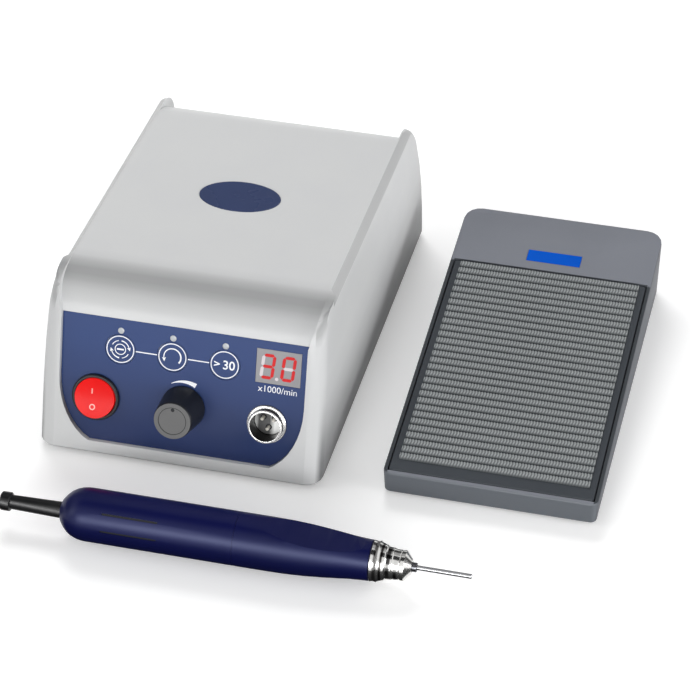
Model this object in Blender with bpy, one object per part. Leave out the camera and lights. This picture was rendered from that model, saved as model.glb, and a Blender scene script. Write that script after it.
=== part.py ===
# Dental lab micromotor: a control box, a handpiece and a foot pedal standing side by side.
# Metres, +Z up, +X to the right along the box's front, +Y to its rear.
# The origin is on the floor, at the middle of the ground that the three units cover.

import math

import bmesh
import bpy
from mathutils import Matrix, Vector

# Clearances and cutting
GAP = 0.0003
SEAT = 0.0001
OVERRUN = 0.02
MILLIMETRE = 0.001
CHAMFER_SMALL = 0.0005

# Facets round a turn
ROUND_STEPS = 40
FINE_STEPS = 24
COARSE_STEPS = 12
INNER_STEPS = 16
ROTOR_STEPS = 21
NUT_SIDES = 6
WIRE_SIDES = 6
CURVE_STEPS = 8
SIDE_POWER = 3
CORNER_STEPS = 4
SOLVE_STEPS = 6
STRAIGHT_SHARES = (0.0, 0.018, 0.25, 0.5, 0.75, 1.0)

# Where the three units stand
BOX_X = -0.065025
BOX_Y = -0.075945
PEDAL_X = 0.085725
PEDAL_Y = 0.026555
HANDPIECE_Y = -0.131945
HANDPIECE_SEAM_X = -0.019475

# Control box: outer form
BOX_FOOT_HEIGHT = 0.0024
BOX_TOP_HALF_WIDTH = 0.0672
BOX_FRONT_HALF_WIDTH = 0.0702
BOX_REAR_HALF_WIDTH = 0.0722
BOX_REAR_Y = 0.2196
BOX_REAR_LEAN = 0.0042
BOX_REAR_ROUND = 0.0155
BOX_INNER_REAR_ROUND = 0.03
BOX_HEIGHT = 0.0788
BOX_SHOULDER_BACK = 0.0415
BOX_TOP_SLOPE = 0.0548
BOX_LEVEL_Y = 0.062
BOX_RAIL_CHAMFER = 0.0034
BOX_RAIL_START = 0.0405
BOX_RAIL_RUN = 0.005
BOX_FOOT_CHAMFER = 0.0012
BOX_FRONT_CORNER = 0.008
BOX_SHOULDER_CORNER = 0.007
BOX_TOP_CORNER = 0.003
BOX_REAR_CORNER = 0.005
BOX_WALL = 0.0025
INNER_CORNER = 0.001
BOX_FRONT_WALL = 0.006
BOX_REAR_WALL = 0.0056

# Front panel, in its own plane: x across, u up from the panel's top edge, h out of the panel
PANEL_Y = 0.0209
PANEL_Z = 0.0687
PANEL_TILT = math.radians(16.9)
PANEL_HALF_WIDTH = 0.0603
PANEL_DROP = 0.0635
PANEL_CORNER_WIDTH = 0.0155
PANEL_CORNER_HEIGHT = 0.032
PANEL_THICKNESS = 0.0009
PANEL_CORNER_SWEEP = math.radians(70)
PANEL_CORNER_STEPS = 8
CHEEK_PROUD = 0.0027
RECESS_BACK = 0.051
RECESS_BACK_HALF_WIDTH = 0.0635
RECESS_OVERLAP = 0.001
REAR_RECESS_DEPTH = 0.0027
REAR_RECESS_START = 0.1841
REAR_RECESS_BOTTOM = 0.0105
REAR_RECESS_HALF_WIDTH = 0.0633
REAR_SHOULDER_HEIGHT = 0.044

# Rocker switch
ROCKER_X = -0.0423
ROCKER_DROP = 0.0413
ROCKER_BEZEL_RADIUS = 0.01175
ROCKER_BEZEL_HEIGHT = 0.002
ROCKER_BEZEL_BEVEL = 0.0005
ROCKER_BARREL_RADIUS = 0.0109
ROCKER_FLOOR = 0.0012
ROCKER_GAP = 0.0004
ROCKER_BODY_DEPTH = 0.019
ROCKER_RADIUS = 0.0099
ROCKER_AXIS_HEIGHT = 0.0008
ROCKER_STUB = 0.0009
ROCKER_STUB_RADIUS = 0.0007
ROCKER_SKIRT_SHARE = 0.84
ROCKER_CURVE_STEPS = 5
ROCKER_END_HEIGHT = 0.0032
ROCKER_MIDDLE_HEIGHT = 0.0022
ROCKER_SKIRT_DEPTH = 0.005
ROCKER_CURVE_POWER = 1.6
ROCKER_THROW = math.radians(14)

# Speed control
KNOB_X = 0.001
KNOB_DROP = 0.0398
KNOB_LENGTH = 0.018
KNOB_STANDOFF = 0.0008
KNOB_BASE_RADIUS = 0.01085
KNOB_FRONT_RADIUS = 0.0093
KNOB_EDGE_ROUND = 0.0009
KNOB_WALL = 0.0022
KNOB_HUB_RADIUS = 0.0052
KNOB_CAP_RADIUS = 0.0079
KNOB_CAP_THICKNESS = 0.0014
KNOB_CAP_PROUD = 0.0002
SHAFT_RADIUS = 0.003
SHAFT_REACH = 0.0148
BUSHING_RADIUS = 0.0045
BUSHING_REACH = 0.0042
POT_RADIUS = 0.0085
POT_LENGTH = 0.0095
POT_FLOOR = 0.0015
POT_TAB_HALF_WIDTH = 0.0065
POT_TAB_HALF_HEIGHT = 0.004

# Handpiece socket
SOCKET_X = 0.0422
SOCKET_DROP = 0.042
SOCKET_FLANGE_RADIUS = 0.0097
SOCKET_FLANGE_THICKNESS = 0.0013
SOCKET_RING_RADIUS = 0.00845
SOCKET_REACH = 0.0047
SOCKET_BORE_RADIUS = 0.0073
SOCKET_BARREL_RADIUS = 0.0081
SOCKET_BARREL_DEPTH = 0.0125
SOCKET_INSERT_DEPTH = 0.0045
SOCKET_BEVEL = 0.0005
SOCKET_NUT_RADIUS = 0.0105
SOCKET_NUT_THICKNESS = 0.002
SOCKET_PIN_RADIUS = 0.0008
SOCKET_PIN_TAIL = 0.002
SOCKET_PIN_CIRCLE = 0.0032
SOCKET_PIN_TIP_DEPTH = 0.0008
SOCKET_PINS = 3
SOCKET_PIN_START = math.radians(150)

# Display, keys and indicators
WINDOW_X = 0.0462
WINDOW_DROP = 0.0129
WINDOW_WIDTH = 0.0218
WINDOW_HEIGHT = 0.0171
WINDOW_LEDGE = 0.0015
DISPLAY_CLEARANCE = 0.0005
KEY_XS = (-0.0313, -0.0056, 0.0201)
KEY_DROP = 0.0154
KEY_PITCH = 0.0257
KEY_RADIUS = 0.0075
KEY_GAP = 0.0002
KEY_THICKNESS = 0.001
KEY_STEM_RADIUS = 0.002
KEY_TRAVEL = 0.0004
LED_DROP = 0.006
LED_RADIUS = 0.00155
LED_PROUD = 0.00015
LED_CROWN_SHARE = 0.7
DISPLAY_BOARD_DEPTH = 0.0084
DISPLAY_BOARD_MARGIN = 0.0018
BOARD_THICKNESS = 0.0016
TACT_HEIGHT = 0.0012
TACT_HALF_WIDTH = 0.003
BOSS_X = -0.01845
BOSS_RADIUS = 0.0022
BOSS_ROOT = 0.0005

# Badge on the lid
BADGE_Y = 0.1188
BADGE_HALF_WIDTH = 0.0206
BADGE_HALF_LENGTH = 0.01385
BADGE_SEAT_DEPTH = 0.0006
BADGE_PROUD = 0.0003

# Base plate, feet and inner parts
PLATE_THICKNESS = 0.002
FOOT_RADIUS = 0.0075
FOOT_TAPER = 0.0006
FOOT_INSET_X = 0.016
FOOT_INSET_Y = 0.022
STANDOFF_RADIUS = 0.003
STANDOFF_HEIGHT = 0.007
MAIN_BOARD_X = -0.034
MAIN_BOARD_Y = 0.118
MAIN_BOARD_WIDTH = 0.05
MAIN_BOARD_LENGTH = 0.12
MAIN_BOARD_INSET = 0.005
SINK_FINS = 4
SINK_PITCH = 0.005
SINK_FIN_HALF_WIDTH = 0.0008
SINK_HALF_LENGTH = 0.015
SINK_HEIGHT = 0.018
CAPACITOR_X = 0.012
CAPACITOR_Y = 0.035
CAPACITOR_RADIUS = 0.006
CAPACITOR_HEIGHT = 0.02
CORE_X = 0.027
CORE_Y = 0.14
CORE_WIDTH = 0.048
CORE_STACK = 0.026
CORE_HEIGHT = 0.04
CORE_LIMB = 0.008
COIL_BULGE = 0.008
COIL_CORNER = 0.004

# Rear fittings, in the rear wall's plane
REAR_FITTING_HEIGHT = 0.032
INLET_X = -0.033
INLET_WIDTH = 0.0272
INLET_HEIGHT = 0.0196
INLET_FLANGE_MARGIN = 0.0022
INLET_FLANGE_THICKNESS = 0.002
INLET_CORNER = 0.003
INLET_WALL = 0.0014
INLET_DEPTH = 0.018
INLET_CAVITY_DEPTH = 0.014
INLET_PIN_WIDTH = 0.002
INLET_PIN_HEIGHT = 0.004
INLET_PIN_PITCH = 0.007
INLET_PIN_LIFT = 0.0016
INLET_PIN_LENGTH = 0.0095
FUSE_X = 0.003
FUSE_RADIUS = 0.0075
FUSE_BARREL_RADIUS = 0.006
FUSE_REACH = 0.005
FUSE_DEPTH = 0.02
FUSE_SLOT_WIDTH = 0.0014
FUSE_SLOT_SHARE = 0.7
PEDAL_SOCKET_X = 0.034
PEDAL_SOCKET_RADIUS = 0.0075
PEDAL_SOCKET_BARREL_RADIUS = 0.0062
PEDAL_SOCKET_BORE_RADIUS = 0.0048
PEDAL_SOCKET_REACH = 0.0035
PEDAL_SOCKET_DEPTH = 0.012
PEDAL_SOCKET_FLOOR = 0.0015

# Handpiece, along its axis from the seam between the sleeve and the grip
SLEEVE_RADIUS = 0.01265
SLEEVE_LENGTH = 0.0845
SLEEVE_DOME_LENGTH = 0.0132
DOME_SHARES = (
    (0, 0), (0.03, 0.12), (0.09, 0.25), (0.18, 0.44), (0.32, 0.66),
    (0.48, 0.82), (0.66, 0.93), (0.83, 0.985), (1, 1),
)
SLEEVE_END_RADIUS = 0.0048
SLEEVE_WALL = 0.0016
SLEEVE_END_WALL = 0.009
GROOVE_START = 0.0627
GROOVE_LENGTH = 0.027
GROOVE_WIDTH = 0.001
GROOVE_DEPTH = 0.0005
GROOVE_TURN = math.radians(152)
GROOVE_ANGLE = math.radians(19.2)
BOOT_LENGTH = 0.0298
BOOT_ROOT_RADIUS = 0.0039
BOOT_TIP_RADIUS = 0.0034
BOOT_COLLAR_RADIUS = 0.0045
BOOT_COLLAR_LENGTH = 0.0046
BOOT_BORE_RADIUS = 0.0021
BOOT_TAIL_LENGTH = 0.0047
BOOT_NECK_RADIUS = 0.0031
GRIP_LENGTH = 0.063
GRIP_NOSE_RADIUS = 0.0095
GRIP_SHARES = (
    (0, 0), (0.23, 0), (0.39, 0.05), (0.52, 0.18), (0.65, 0.4),
    (0.75, 0.6), (0.85, 0.82), (0.93, 0.93), (1, 1),
)
SCOOP_START = 0.0068
SCOOP_END = 0.0617
SCOOP_FLOOR = 0.0078
SCOOP_SHARES = (
    (0, 0), (0.08, 0.14), (0.2, 0.38), (0.35, 0.66), (0.5, 0.85),
    (0.65, 0.96), (0.78, 1), (0.88, 0.94), (0.95, 0.8), (1, 0.6),
)
QUILL_RADIUS = 0.0066
QUILL_BORE_RADIUS = 0.005
QUILL_FLANGE_LENGTH = 0.008
NOSE_RING_RADIUS = 0.0097
NOSE_STEP_RADIUS = 0.008
NOSE_RING_LENGTH = 0.0072
NOSE_SLEEVE_LENGTH = 0.0068
NOSE_RINGS = 2
NOSE_GROOVE_DEPTH = 0.0005
NOSE_GROOVE_WIDTH = 0.0006
NOSE_CAP_RADIUS = 0.0072
NOSE_CAP_LENGTH = 0.0048
NOSE_CAP_CONE_LENGTH = 0.003
NOSE_CAP_FACE_RADIUS = 0.0036
NOSE_CAP_WALL = 0.0012
COLLET_TIP_RADIUS = 0.0022
COLLET_TIP_REACH = 0.0022
COLLET_BODY_RADIUS = 0.0024
COLLET_LENGTH = 0.034
COLLET_SLITS = 3
COLLET_SLIT_WIDTH = 0.0004
COLLET_SLIT_LENGTH = 0.011
COLLET_TRAVEL = 0.0008
TOOL_RADIUS = 0.001175
TOOL_REACH = 0.0255
TOOL_GRIPPED_LENGTH = 0.029
HOLDER_RADIUS = 0.0036
HOLDER_LENGTH = 0.04
HOLDER_REACH = 0.0055
HOLDER_BEARING_INSET = 0.006
SPINDLE_RADIUS = 0.002
BEARING_LENGTH = 0.004
BEARING_RADIUS = 0.0062
BEARING_FACE_GROOVE = 0.0004
BEARING_LAND_SHARE = 0.15
ROTOR_RADIUS = 0.0082
ROTOR_LENGTH = 0.044
ROTOR_SLOTS = 7
ROTOR_SLOT_WIDTH = 0.0012
ROTOR_SLOT_DEPTH = 0.0018
MAGNET_BORE_RADIUS = 0.0087
MAGNET_LENGTH = 0.048

# Foot pedal, from the middle of its ground
PEDAL_HALF_WIDTH = 0.0515
PEDAL_HALF_LENGTH = 0.0978
PEDAL_DRAFT = 0.0006
PEDAL_FOOT_HEIGHT = 0.001
PEDAL_FRONT_HEIGHT = 0.0136
PEDAL_REAR_HEIGHT = 0.034
PEDAL_FRONT_CORNER = 0.0035
PEDAL_REAR_CORNER = 0.0085
PEDAL_EDGE_ROUND = 0.001
EDGE_SHARE = 0.3
PEDAL_WALL = 0.0024
PEDAL_RIM = 0.0019
PEDAL_FLOOR = 0.0022
PEDAL_HEAD_LENGTH = 0.0412
TREADLE_THICKNESS = 0.0032
TREADLE_SIDE_GAP = 0.0005
TREADLE_HEAD_GAP = 0.0011
TREADLE_EDGE = 0.0006
TREADLE_CORNER = 0.0015
PAD_FRONT_MARGIN = 0.0072
PAD_SIDE_MARGIN = 0.0035
PAD_HEAD_MARGIN = 0.0006
PAD_SHEET = 0.0012
PAD_SEAT_DEPTH = 0.0011
PAD_MIDDLE_SHARE = 0.5
PAD_RIB_COUNT = 30
PAD_RIB_HEIGHT = 0.0011
PAD_RIB_FOOT_SHARE = 0.78
PAD_RIB_TOP_SHARE = 0.56
HINGE_INSET_Y = 0.0062
HINGE_DEPTH = 0.0052
HINGE_PIN_RADIUS = 0.0012
HINGE_KNUCKLE_RADIUS = 0.0024
HINGE_KNUCKLE_LENGTH = 0.018
HINGE_KNUCKLE_X = 0.03
PIN_HALF_LENGTH = 0.048
BRACKET_XS = (-0.045, -0.015, 0.015, 0.045)
BRACKET_HALF_WIDTH = 0.002
BRACKET_CROWN = 0.0004
SPRING_X = 0.026
SPRING_Y = 0.03
SPRING_RADIUS = 0.005
SPRING_WIRE_RADIUS = 0.0006
SPRING_TURNS = 5
SPRING_STEPS = 10
SPRING_SEAT_HEIGHT = 0.001
SPRING_HEADROOM = 0.001
SWITCH_Y = 0.004
SWITCH_WIDTH = 0.028
SWITCH_LENGTH = 0.016
SWITCH_HEIGHT = 0.01
SWITCH_PLUNGER_RADIUS = 0.002
SWITCH_PLUNGER_REACH = 0.003
PEDAL_BADGE_Y = 0.0665
PEDAL_BADGE_HALF_WIDTH = 0.0137
PEDAL_BADGE_HALF_LENGTH = 0.0041
PEDAL_BADGE_DEPTH = 0.0006
PEDAL_BADGE_THICKNESS = 0.0008
PEDAL_BADGE_CORNER = 0.0003
PEDAL_FOOT_RADIUS = 0.006
PEDAL_FOOT_INSET = 0.012
GLAND_RADIUS = 0.0055
GLAND_BARREL_RADIUS = 0.0045
GLAND_BORE_RADIUS = 0.0024
GLAND_REACH = 0.002
GLAND_HEIGHT = 0.013

# Materials: colour, roughness, metallic
PAINTS = {
    "cover_white": ((0.58, 0.58, 0.59), 0.32, 0.0),
    "panel_blue": ((0.045, 0.075, 0.21), 0.35, 0.0),
    "window_smoke": ((0.30, 0.28, 0.29), 0.15, 0.0),
    "display_black": ((0.03, 0.03, 0.03), 0.4, 0.0),
    "led_lens": ((0.45, 0.45, 0.45), 0.2, 0.0),
    "switch_black": ((0.012, 0.012, 0.013), 0.35, 0.0),
    "rocker_red": ((0.85, 0.02, 0.02), 0.25, 0.0),
    "knob_grey": ((0.045, 0.05, 0.055), 0.45, 0.0),
    "cap_grey": ((0.12, 0.12, 0.125), 0.4, 0.0),
    "chrome": ((0.75, 0.75, 0.76), 0.12, 1.0),
    "brass_pin": ((0.75, 0.62, 0.35), 0.25, 1.0),
    "steel": ((0.52, 0.53, 0.54), 0.3, 1.0),
    "board_green": ((0.02, 0.16, 0.06), 0.5, 0.0),
    "core_steel": ((0.15, 0.15, 0.16), 0.5, 1.0),
    "coil_copper": ((0.55, 0.2, 0.08), 0.4, 0.8),
    "badge_navy": ((0.012, 0.02, 0.10), 0.25, 0.0),
    "foot_rubber": ((0.02, 0.02, 0.02), 0.8, 0.0),
    "navy_body": ((0.015, 0.018, 0.10), 0.22, 0.0),
    "boot_black": ((0.012, 0.012, 0.014), 0.55, 0.0),
    "magnet_grey": ((0.08, 0.08, 0.085), 0.5, 0.3),
    "pedal_grey": ((0.13, 0.135, 0.145), 0.5, 0.0),
    "treadle_grey": ((0.045, 0.05, 0.055), 0.5, 0.0),
    "pad_rubber": ((0.16, 0.16, 0.165), 0.75, 0.0),
    "badge_blue": ((0.0, 0.10, 0.72), 0.25, 0.0),
    "bottom_grey": ((0.2, 0.2, 0.21), 0.5, 0.0),
}


def clear_scene():
    for item in list(bpy.data.objects):
        bpy.data.objects.remove(item)


def paint(slot):
    material = bpy.data.materials.get(slot)
    if material:
        return material
    colour, roughness, metallic = PAINTS[slot]
    material = bpy.data.materials.new(slot)
    material.use_nodes = True
    shader = material.node_tree.nodes["Principled BSDF"]
    shader.inputs["Base Color"].default_value = (*colour, 1.0)
    shader.inputs["Roughness"].default_value = roughness
    shader.inputs["Metallic"].default_value = metallic
    return material


# Frames: each local frame has x across, y up along the face and z out of it
def shift(x, y, z):
    return Matrix.Translation(Vector((x, y, z)))


def panel_frame():
    turn = Matrix.Rotation(math.pi / 2 - PANEL_TILT, 4, "X")
    return shift(BOX_X, BOX_Y + PANEL_Y, PANEL_Z) @ turn


def on_panel(x, drop):
    return panel_frame() @ shift(x, -drop, 0)


def box_frame():
    return shift(BOX_X, BOX_Y, 0)


def rear_wall_point(height):
    # On the recessed rear face
    level = height - BOX_FOOT_HEIGHT
    for _ in range(SOLVE_STEPS):
        y = rear_y(level)
        level = (height - BOX_FOOT_HEIGHT) / level_scale(y)
    return Vector((0, y - REAR_RECESS_DEPTH, height))


def rear_frame(x):
    low = rear_wall_point(REAR_FITTING_HEIGHT - INLET_HEIGHT / 2)
    high = rear_wall_point(REAR_FITTING_HEIGHT + INLET_HEIGHT / 2)
    up = (high - low).normalized()
    across = Vector((-1, 0, 0))
    out = across.cross(up)
    turn = Matrix((across, up, out)).transposed().to_4x4()
    middle = (low + high) / 2
    return box_frame() @ shift(x, middle.y, middle.z) @ turn


def hand_frame(along=0):
    return shift(HANDPIECE_SEAM_X + along, HANDPIECE_Y, SLEEVE_RADIUS) @ Matrix.Rotation(math.pi / 2, 4, "Y")


def pedal_frame():
    return shift(PEDAL_X, PEDAL_Y, 0)


def treadle_frame():
    slope = math.atan2(PEDAL_REAR_HEIGHT - PEDAL_FRONT_HEIGHT, PEDAL_HALF_LENGTH * 2)
    return pedal_frame() @ shift(0, -PEDAL_HALF_LENGTH, PEDAL_FRONT_HEIGHT) @ Matrix.Rotation(slope, 4, "X")


# Shapes
def make(name, shape, slot, frame):
    bmesh.ops.recalc_face_normals(shape, faces=shape.faces)
    mesh = bpy.data.meshes.new(name)
    shape.to_mesh(mesh)
    shape.free()
    mesh.materials.append(paint(slot))
    item = bpy.data.objects.new(name, mesh)
    bpy.context.scene.collection.objects.link(item)
    item.matrix_world = frame
    return item


def soften(item, degrees=35):
    for face in item.data.polygons:
        face.use_smooth = True
    item.data.set_sharp_from_angle(angle=math.radians(degrees))


def combine(item, tool_shape, frame, operation, solver="EXACT"):
    tool = make("tool", tool_shape, "steel", frame)
    change = item.modifiers.new("combine", "BOOLEAN")
    change.operation = operation
    change.solver = solver
    change.object = tool
    view = bpy.context.evaluated_depsgraph_get()
    view.update()
    result = bpy.data.meshes.new_from_object(item.evaluated_get(view))
    item.modifiers.remove(change)
    old = item.data
    item.data = result
    item.data.materials.clear()
    item.data.materials.append(old.materials[0])
    bpy.data.objects.remove(tool)


def carve(item, tool_shape, frame):
    combine(item, tool_shape, frame, "DIFFERENCE")


def join(item, tool_shape, frame):
    combine(item, tool_shape, frame, "UNION")


def loft(rings):
    shape = bmesh.new()
    rows = [[shape.verts.new(point) for point in ring] for ring in rings]
    count = len(rows[0])
    for low, high in zip(rows, rows[1:]):
        for i in range(count):
            j = (i + 1) % count
            shape.faces.new((low[i], low[j], high[j], high[i]))
    shape.faces.new(list(reversed(rows[0])))
    shape.faces.new(rows[-1])
    return shape


def prism(outline, bottom, top):
    return loft([[Vector((x, y, z)) for x, y in outline] for z in (bottom, top)])


def lathe(profile, segments):
    # The profile is a closed outline of (radius, height); where it meets the axis, one flat face closes it
    shape = bmesh.new()
    rows = []
    for radius, height in profile:
        row = []
        if radius:
            for i in range(segments):
                turn = math.tau * i / segments
                row.append(shape.verts.new((radius * math.cos(turn), radius * math.sin(turn), height)))
        rows.append(row)
    for low, high in zip(rows, rows[1:] + rows[:1]):
        if low and high:
            for i in range(segments):
                j = (i + 1) % segments
                shape.faces.new((low[i], low[j], high[j], high[i]))
        elif low or high:
            shape.faces.new(low or high)
    return shape


def tube(outer, inner, bottom, top, segments):
    return lathe([(inner, bottom), (outer, bottom), (outer, top), (inner, top)], segments)


def disc(radius, bottom, top, segments):
    return lathe([(0, bottom), (radius, bottom), (radius, top), (0, top)], segments)


def rim_disc(radius, bottom, top, bevel, segments):
    profile = [(0, bottom), (radius, bottom), (radius, top - bevel), (radius - bevel, top), (0, top)]
    return lathe(profile, segments)


def rounded(half_width, half_height, radius, steps=4):
    outline = []
    corners = ((1, 1, 0), (-1, 1, 1), (-1, -1, 2), (1, -1, 3))
    for side, end, quarter in corners:
        for i in range(steps + 1):
            turn = math.pi / 2 * (quarter + i / steps)
            x = side * (half_width - radius) + radius * math.cos(turn)
            y = end * (half_height - radius) + radius * math.sin(turn)
            outline.append((x, y))
    return outline


def block(half_width, half_height, bottom, top):
    outline = [(half_width, half_height), (-half_width, half_height)]
    outline += [(-half_width, -half_height), (half_width, -half_height)]
    return prism(outline, bottom, top)


def moved(shape, x, y, z=0):
    bmesh.ops.translate(shape, verts=shape.verts, vec=(x, y, z))
    return shape


# Control box: the outer form is a stack of rounded plan outlines
def level_scale(y):
    return 1 - BOX_TOP_SLOPE / BOX_HEIGHT * (y - BOX_LEVEL_Y)


def rear_y(level, bend=BOX_REAR_ROUND):
    plain = BOX_REAR_Y - BOX_REAR_LEAN * level / BOX_HEIGHT
    rise = level - (BOX_HEIGHT - bend)
    if rise <= 0:
        return plain
    return plain - bend + math.sqrt(max(0, bend**2 - rise**2))


def front_line(height, proud):
    return PANEL_Y + (height - PANEL_Z) * math.tan(PANEL_TILT) - proud / math.cos(PANEL_TILT)


def top_height(y):
    return BOX_FOOT_HEIGHT + BOX_HEIGHT * level_scale(y)


def shoulder_curve(proud, back):
    # From the front plane's upper end to the flat top, tangent to both
    start_z = PANEL_Z + proud * math.sin(PANEL_TILT)
    start = Vector((front_line(start_z, proud), start_z))
    peak_z = top_height(start.x)
    for _ in range(SOLVE_STEPS):
        peak = Vector((front_line(peak_z, proud), peak_z))
        peak_z = top_height(peak.x)
    return start, peak, Vector((back, top_height(back)))


def curve_point(points, share):
    first, middle, last = points
    return first * (1 - share) ** 2 + middle * 2 * share * (1 - share) + last * share**2


def box_levels():
    # Each level is (level, front y) on the cheeks' surface
    points = shoulder_curve(CHEEK_PROUD, BOX_SHOULDER_BACK)
    start = points[0]
    start_level = (start.y - BOX_FOOT_HEIGHT) / level_scale(start.x)
    levels = []
    for share in STRAIGHT_SHARES:
        level = start_level * share
        y = front_line(BOX_FOOT_HEIGHT + level, CHEEK_PROUD)
        height = BOX_FOOT_HEIGHT + level * level_scale(y)
        levels.append((level, front_line(height, CHEEK_PROUD)))
    for i in range(1, CURVE_STEPS + 1):
        point = curve_point(points, i / CURVE_STEPS)
        levels.append(((point.y - BOX_FOOT_HEIGHT) / level_scale(point.x), point.x))
    return levels


def half_width(level, rear):
    edge = BOX_HEIGHT - BOX_RAIL_CHAMFER
    base = BOX_REAR_HALF_WIDTH if rear else BOX_FRONT_HALF_WIDTH
    return BOX_TOP_HALF_WIDTH + (base - BOX_TOP_HALF_WIDTH) * max(0, 1 - (level / edge) ** SIDE_POWER)


def rail_cut(level):
    return max(0, level - (BOX_HEIGHT - BOX_RAIL_CHAMFER))


def front_corner(level):
    swell = BOX_FRONT_CORNER + (BOX_SHOULDER_CORNER - BOX_FRONT_CORNER) * min(1, level / BOX_HEIGHT)
    return swell + (BOX_TOP_CORNER - swell) * rail_cut(level) / BOX_RAIL_CHAMFER


def corner_points(centre, radius, quarter):
    points = []
    for i in range(CORNER_STEPS + 1):
        turn = math.pi / 2 * (quarter + i / CORNER_STEPS)
        points.append((centre[0] + radius * math.cos(turn), centre[1] + radius * math.sin(turn)))
    return points


def rear_corner(level):
    return BOX_REAR_CORNER + (BOX_TOP_CORNER - BOX_REAR_CORNER) * rail_cut(level) / BOX_RAIL_CHAMFER


def box_outline(level, front, inset, front_inset, rear_inset):
    front_y = front + front_inset
    bend = BOX_INNER_REAR_ROUND if rear_inset > BOX_WALL else BOX_REAR_ROUND
    back_y = rear_y(level, bend) - rear_inset
    cut = rail_cut(level)
    wide = half_width(level, True) - inset - cut
    narrow = half_width(level, False) - inset
    near = max(INNER_CORNER, front_corner(level) - inset)
    far = max(INNER_CORNER, rear_corner(level) - inset)
    # The rail's slope starts behind the shoulder, so the cheeks keep their full width there
    tip_y = max(BOX_RAIL_START, front_y + near + SEAT)
    full_y = tip_y + BOX_RAIL_RUN
    tip_x = narrow + (wide + cut - narrow) * (tip_y - front_y) / (back_y - front_y)
    full_x = narrow + (wide + cut - narrow) * (full_y - front_y) / (back_y - front_y) - cut
    outline = corner_points((wide - far, back_y - far), far, 0)
    outline += corner_points((far - wide, back_y - far), far, 1)
    outline += [(-full_x, full_y), (-tip_x, tip_y)]
    outline += corner_points((near - narrow, front_y + near), near, 2)
    outline += corner_points((narrow - near, front_y + near), near, 3)
    outline += [(tip_x, tip_y), (full_x, full_y)]
    return outline


def box_form(inset, front_inset, rear_inset, top_drop):
    rings = []
    levels = box_levels()
    shoulder = levels[len(STRAIGHT_SHARES) - 1][0]
    for level, front in levels:
        share = max(0, level - shoulder) / (BOX_HEIGHT - shoulder)
        outline = box_outline(level, front, inset, front_inset, rear_inset)
        lift = level - top_drop * share
        ring = [Vector((x, y, BOX_FOOT_HEIGHT + lift * level_scale(y))) for x, y in outline]
        rings.append(ring)
    return rings


def housing_outer():
    rings = box_form(0, 0, 0, 0)
    first = []
    for x, y in box_outline(0, front_line(BOX_FOOT_HEIGHT, CHEEK_PROUD), BOX_FOOT_CHAMFER, BOX_FOOT_CHAMFER,
                            BOX_FOOT_CHAMFER):
        first.append(Vector((x, y, BOX_FOOT_HEIGHT)))
    rings[0] = first
    return loft(rings)


def housing_inner():
    rings = box_form(BOX_WALL, BOX_FRONT_WALL, BOX_REAR_WALL, BOX_WALL)
    mouth = [point - Vector((0, 0, OVERRUN)) for point in rings[0]]
    return loft([mouth] + rings)


def panel_outline(inset):
    # The top edge is at zero; each lower corner is an ellipse that meets the bottom edge in a slight kink
    half = PANEL_HALF_WIDTH - inset
    low = PANEL_DROP - inset
    left = []
    for i in range(PANEL_CORNER_STEPS + 1):
        turn = PANEL_CORNER_SWEEP * i / PANEL_CORNER_STEPS
        across = (1 - math.cos(turn)) / (1 - math.cos(PANEL_CORNER_SWEEP))
        down = math.sin(turn) / math.sin(PANEL_CORNER_SWEEP)
        left.append((PANEL_CORNER_WIDTH * across - half, PANEL_CORNER_HEIGHT * (1 - down) - low))
    right = [(-x, y) for x, y in reversed(left)]
    return [(half, -inset), (-half, -inset)] + left + right


def shoulder_recess():
    points = shoulder_curve(0, RECESS_BACK)
    profile = []
    for i in range(CURVE_STEPS + 1):
        point = curve_point(points, i / CURVE_STEPS)
        profile.append((point.x, point.y))
    profile.append((profile[-1][0], profile[-1][1] + OVERRUN))
    profile.append((profile[0][0] - OVERRUN, profile[-1][1]))
    profile.append((profile[0][0] - OVERRUN, profile[0][1]))
    # The side walls lean out with height, from the panel's corners to the rails
    foot = PANEL_HALF_WIDTH + SEAT
    lean = (RECESS_BACK_HALF_WIDTH - foot) / (top_height(RECESS_BACK) - PANEL_Z)
    rings = []
    for side in (-1, 1):
        rings.append([Vector((side * (foot + lean * (z - PANEL_Z)), y, z)) for y, z in profile])
    return loft(rings)


def rear_recess():
    # The middle of the back lies deeper than the two cheeks, and rolls over into the lid
    frame = rear_frame(0)
    inward = box_frame().inverted() @ frame
    up = inward.to_3x3() @ Vector((0, 1, 0))
    foot = inward.translation
    low = foot + up * (REAR_RECESS_BOTTOM - foot.z) / up.z
    bend = foot + up * (REAR_SHOULDER_HEIGHT - foot.z) / up.z
    peak_z = top_height(bend.y)
    for _ in range(SOLVE_STEPS):
        peak = foot + up * (peak_z - foot.z) / up.z
        peak_z = top_height(peak.y)
    points = (Vector((bend.y, bend.z)), Vector((peak.y, peak_z)),
              Vector((REAR_RECESS_START, top_height(REAR_RECESS_START))))
    profile = [(low.y, low.z)]
    for i in range(CURVE_STEPS + 1):
        point = curve_point(points, i / CURVE_STEPS)
        profile.append((point.x, point.y))
    profile.append((REAR_RECESS_START, profile[-1][1] + OVERRUN))
    profile.append((low.y + OVERRUN, profile[-1][1]))
    profile.append((low.y + OVERRUN, low.z))
    rings = []
    for x in (-REAR_RECESS_HALF_WIDTH, REAR_RECESS_HALF_WIDTH):
        rings.append([Vector((x, y, z)) for y, z in profile])
    return loft(rings)


def panel_back_depth():
    return BOX_FRONT_WALL * math.cos(PANEL_TILT) - CHEEK_PROUD


def recess_wall_cut():
    outline = panel_outline(0)
    outline[0] = (outline[0][0], RECESS_OVERLAP)
    outline[1] = (outline[1][0], RECESS_OVERLAP)
    return prism(outline, 0, OVERRUN)


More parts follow.
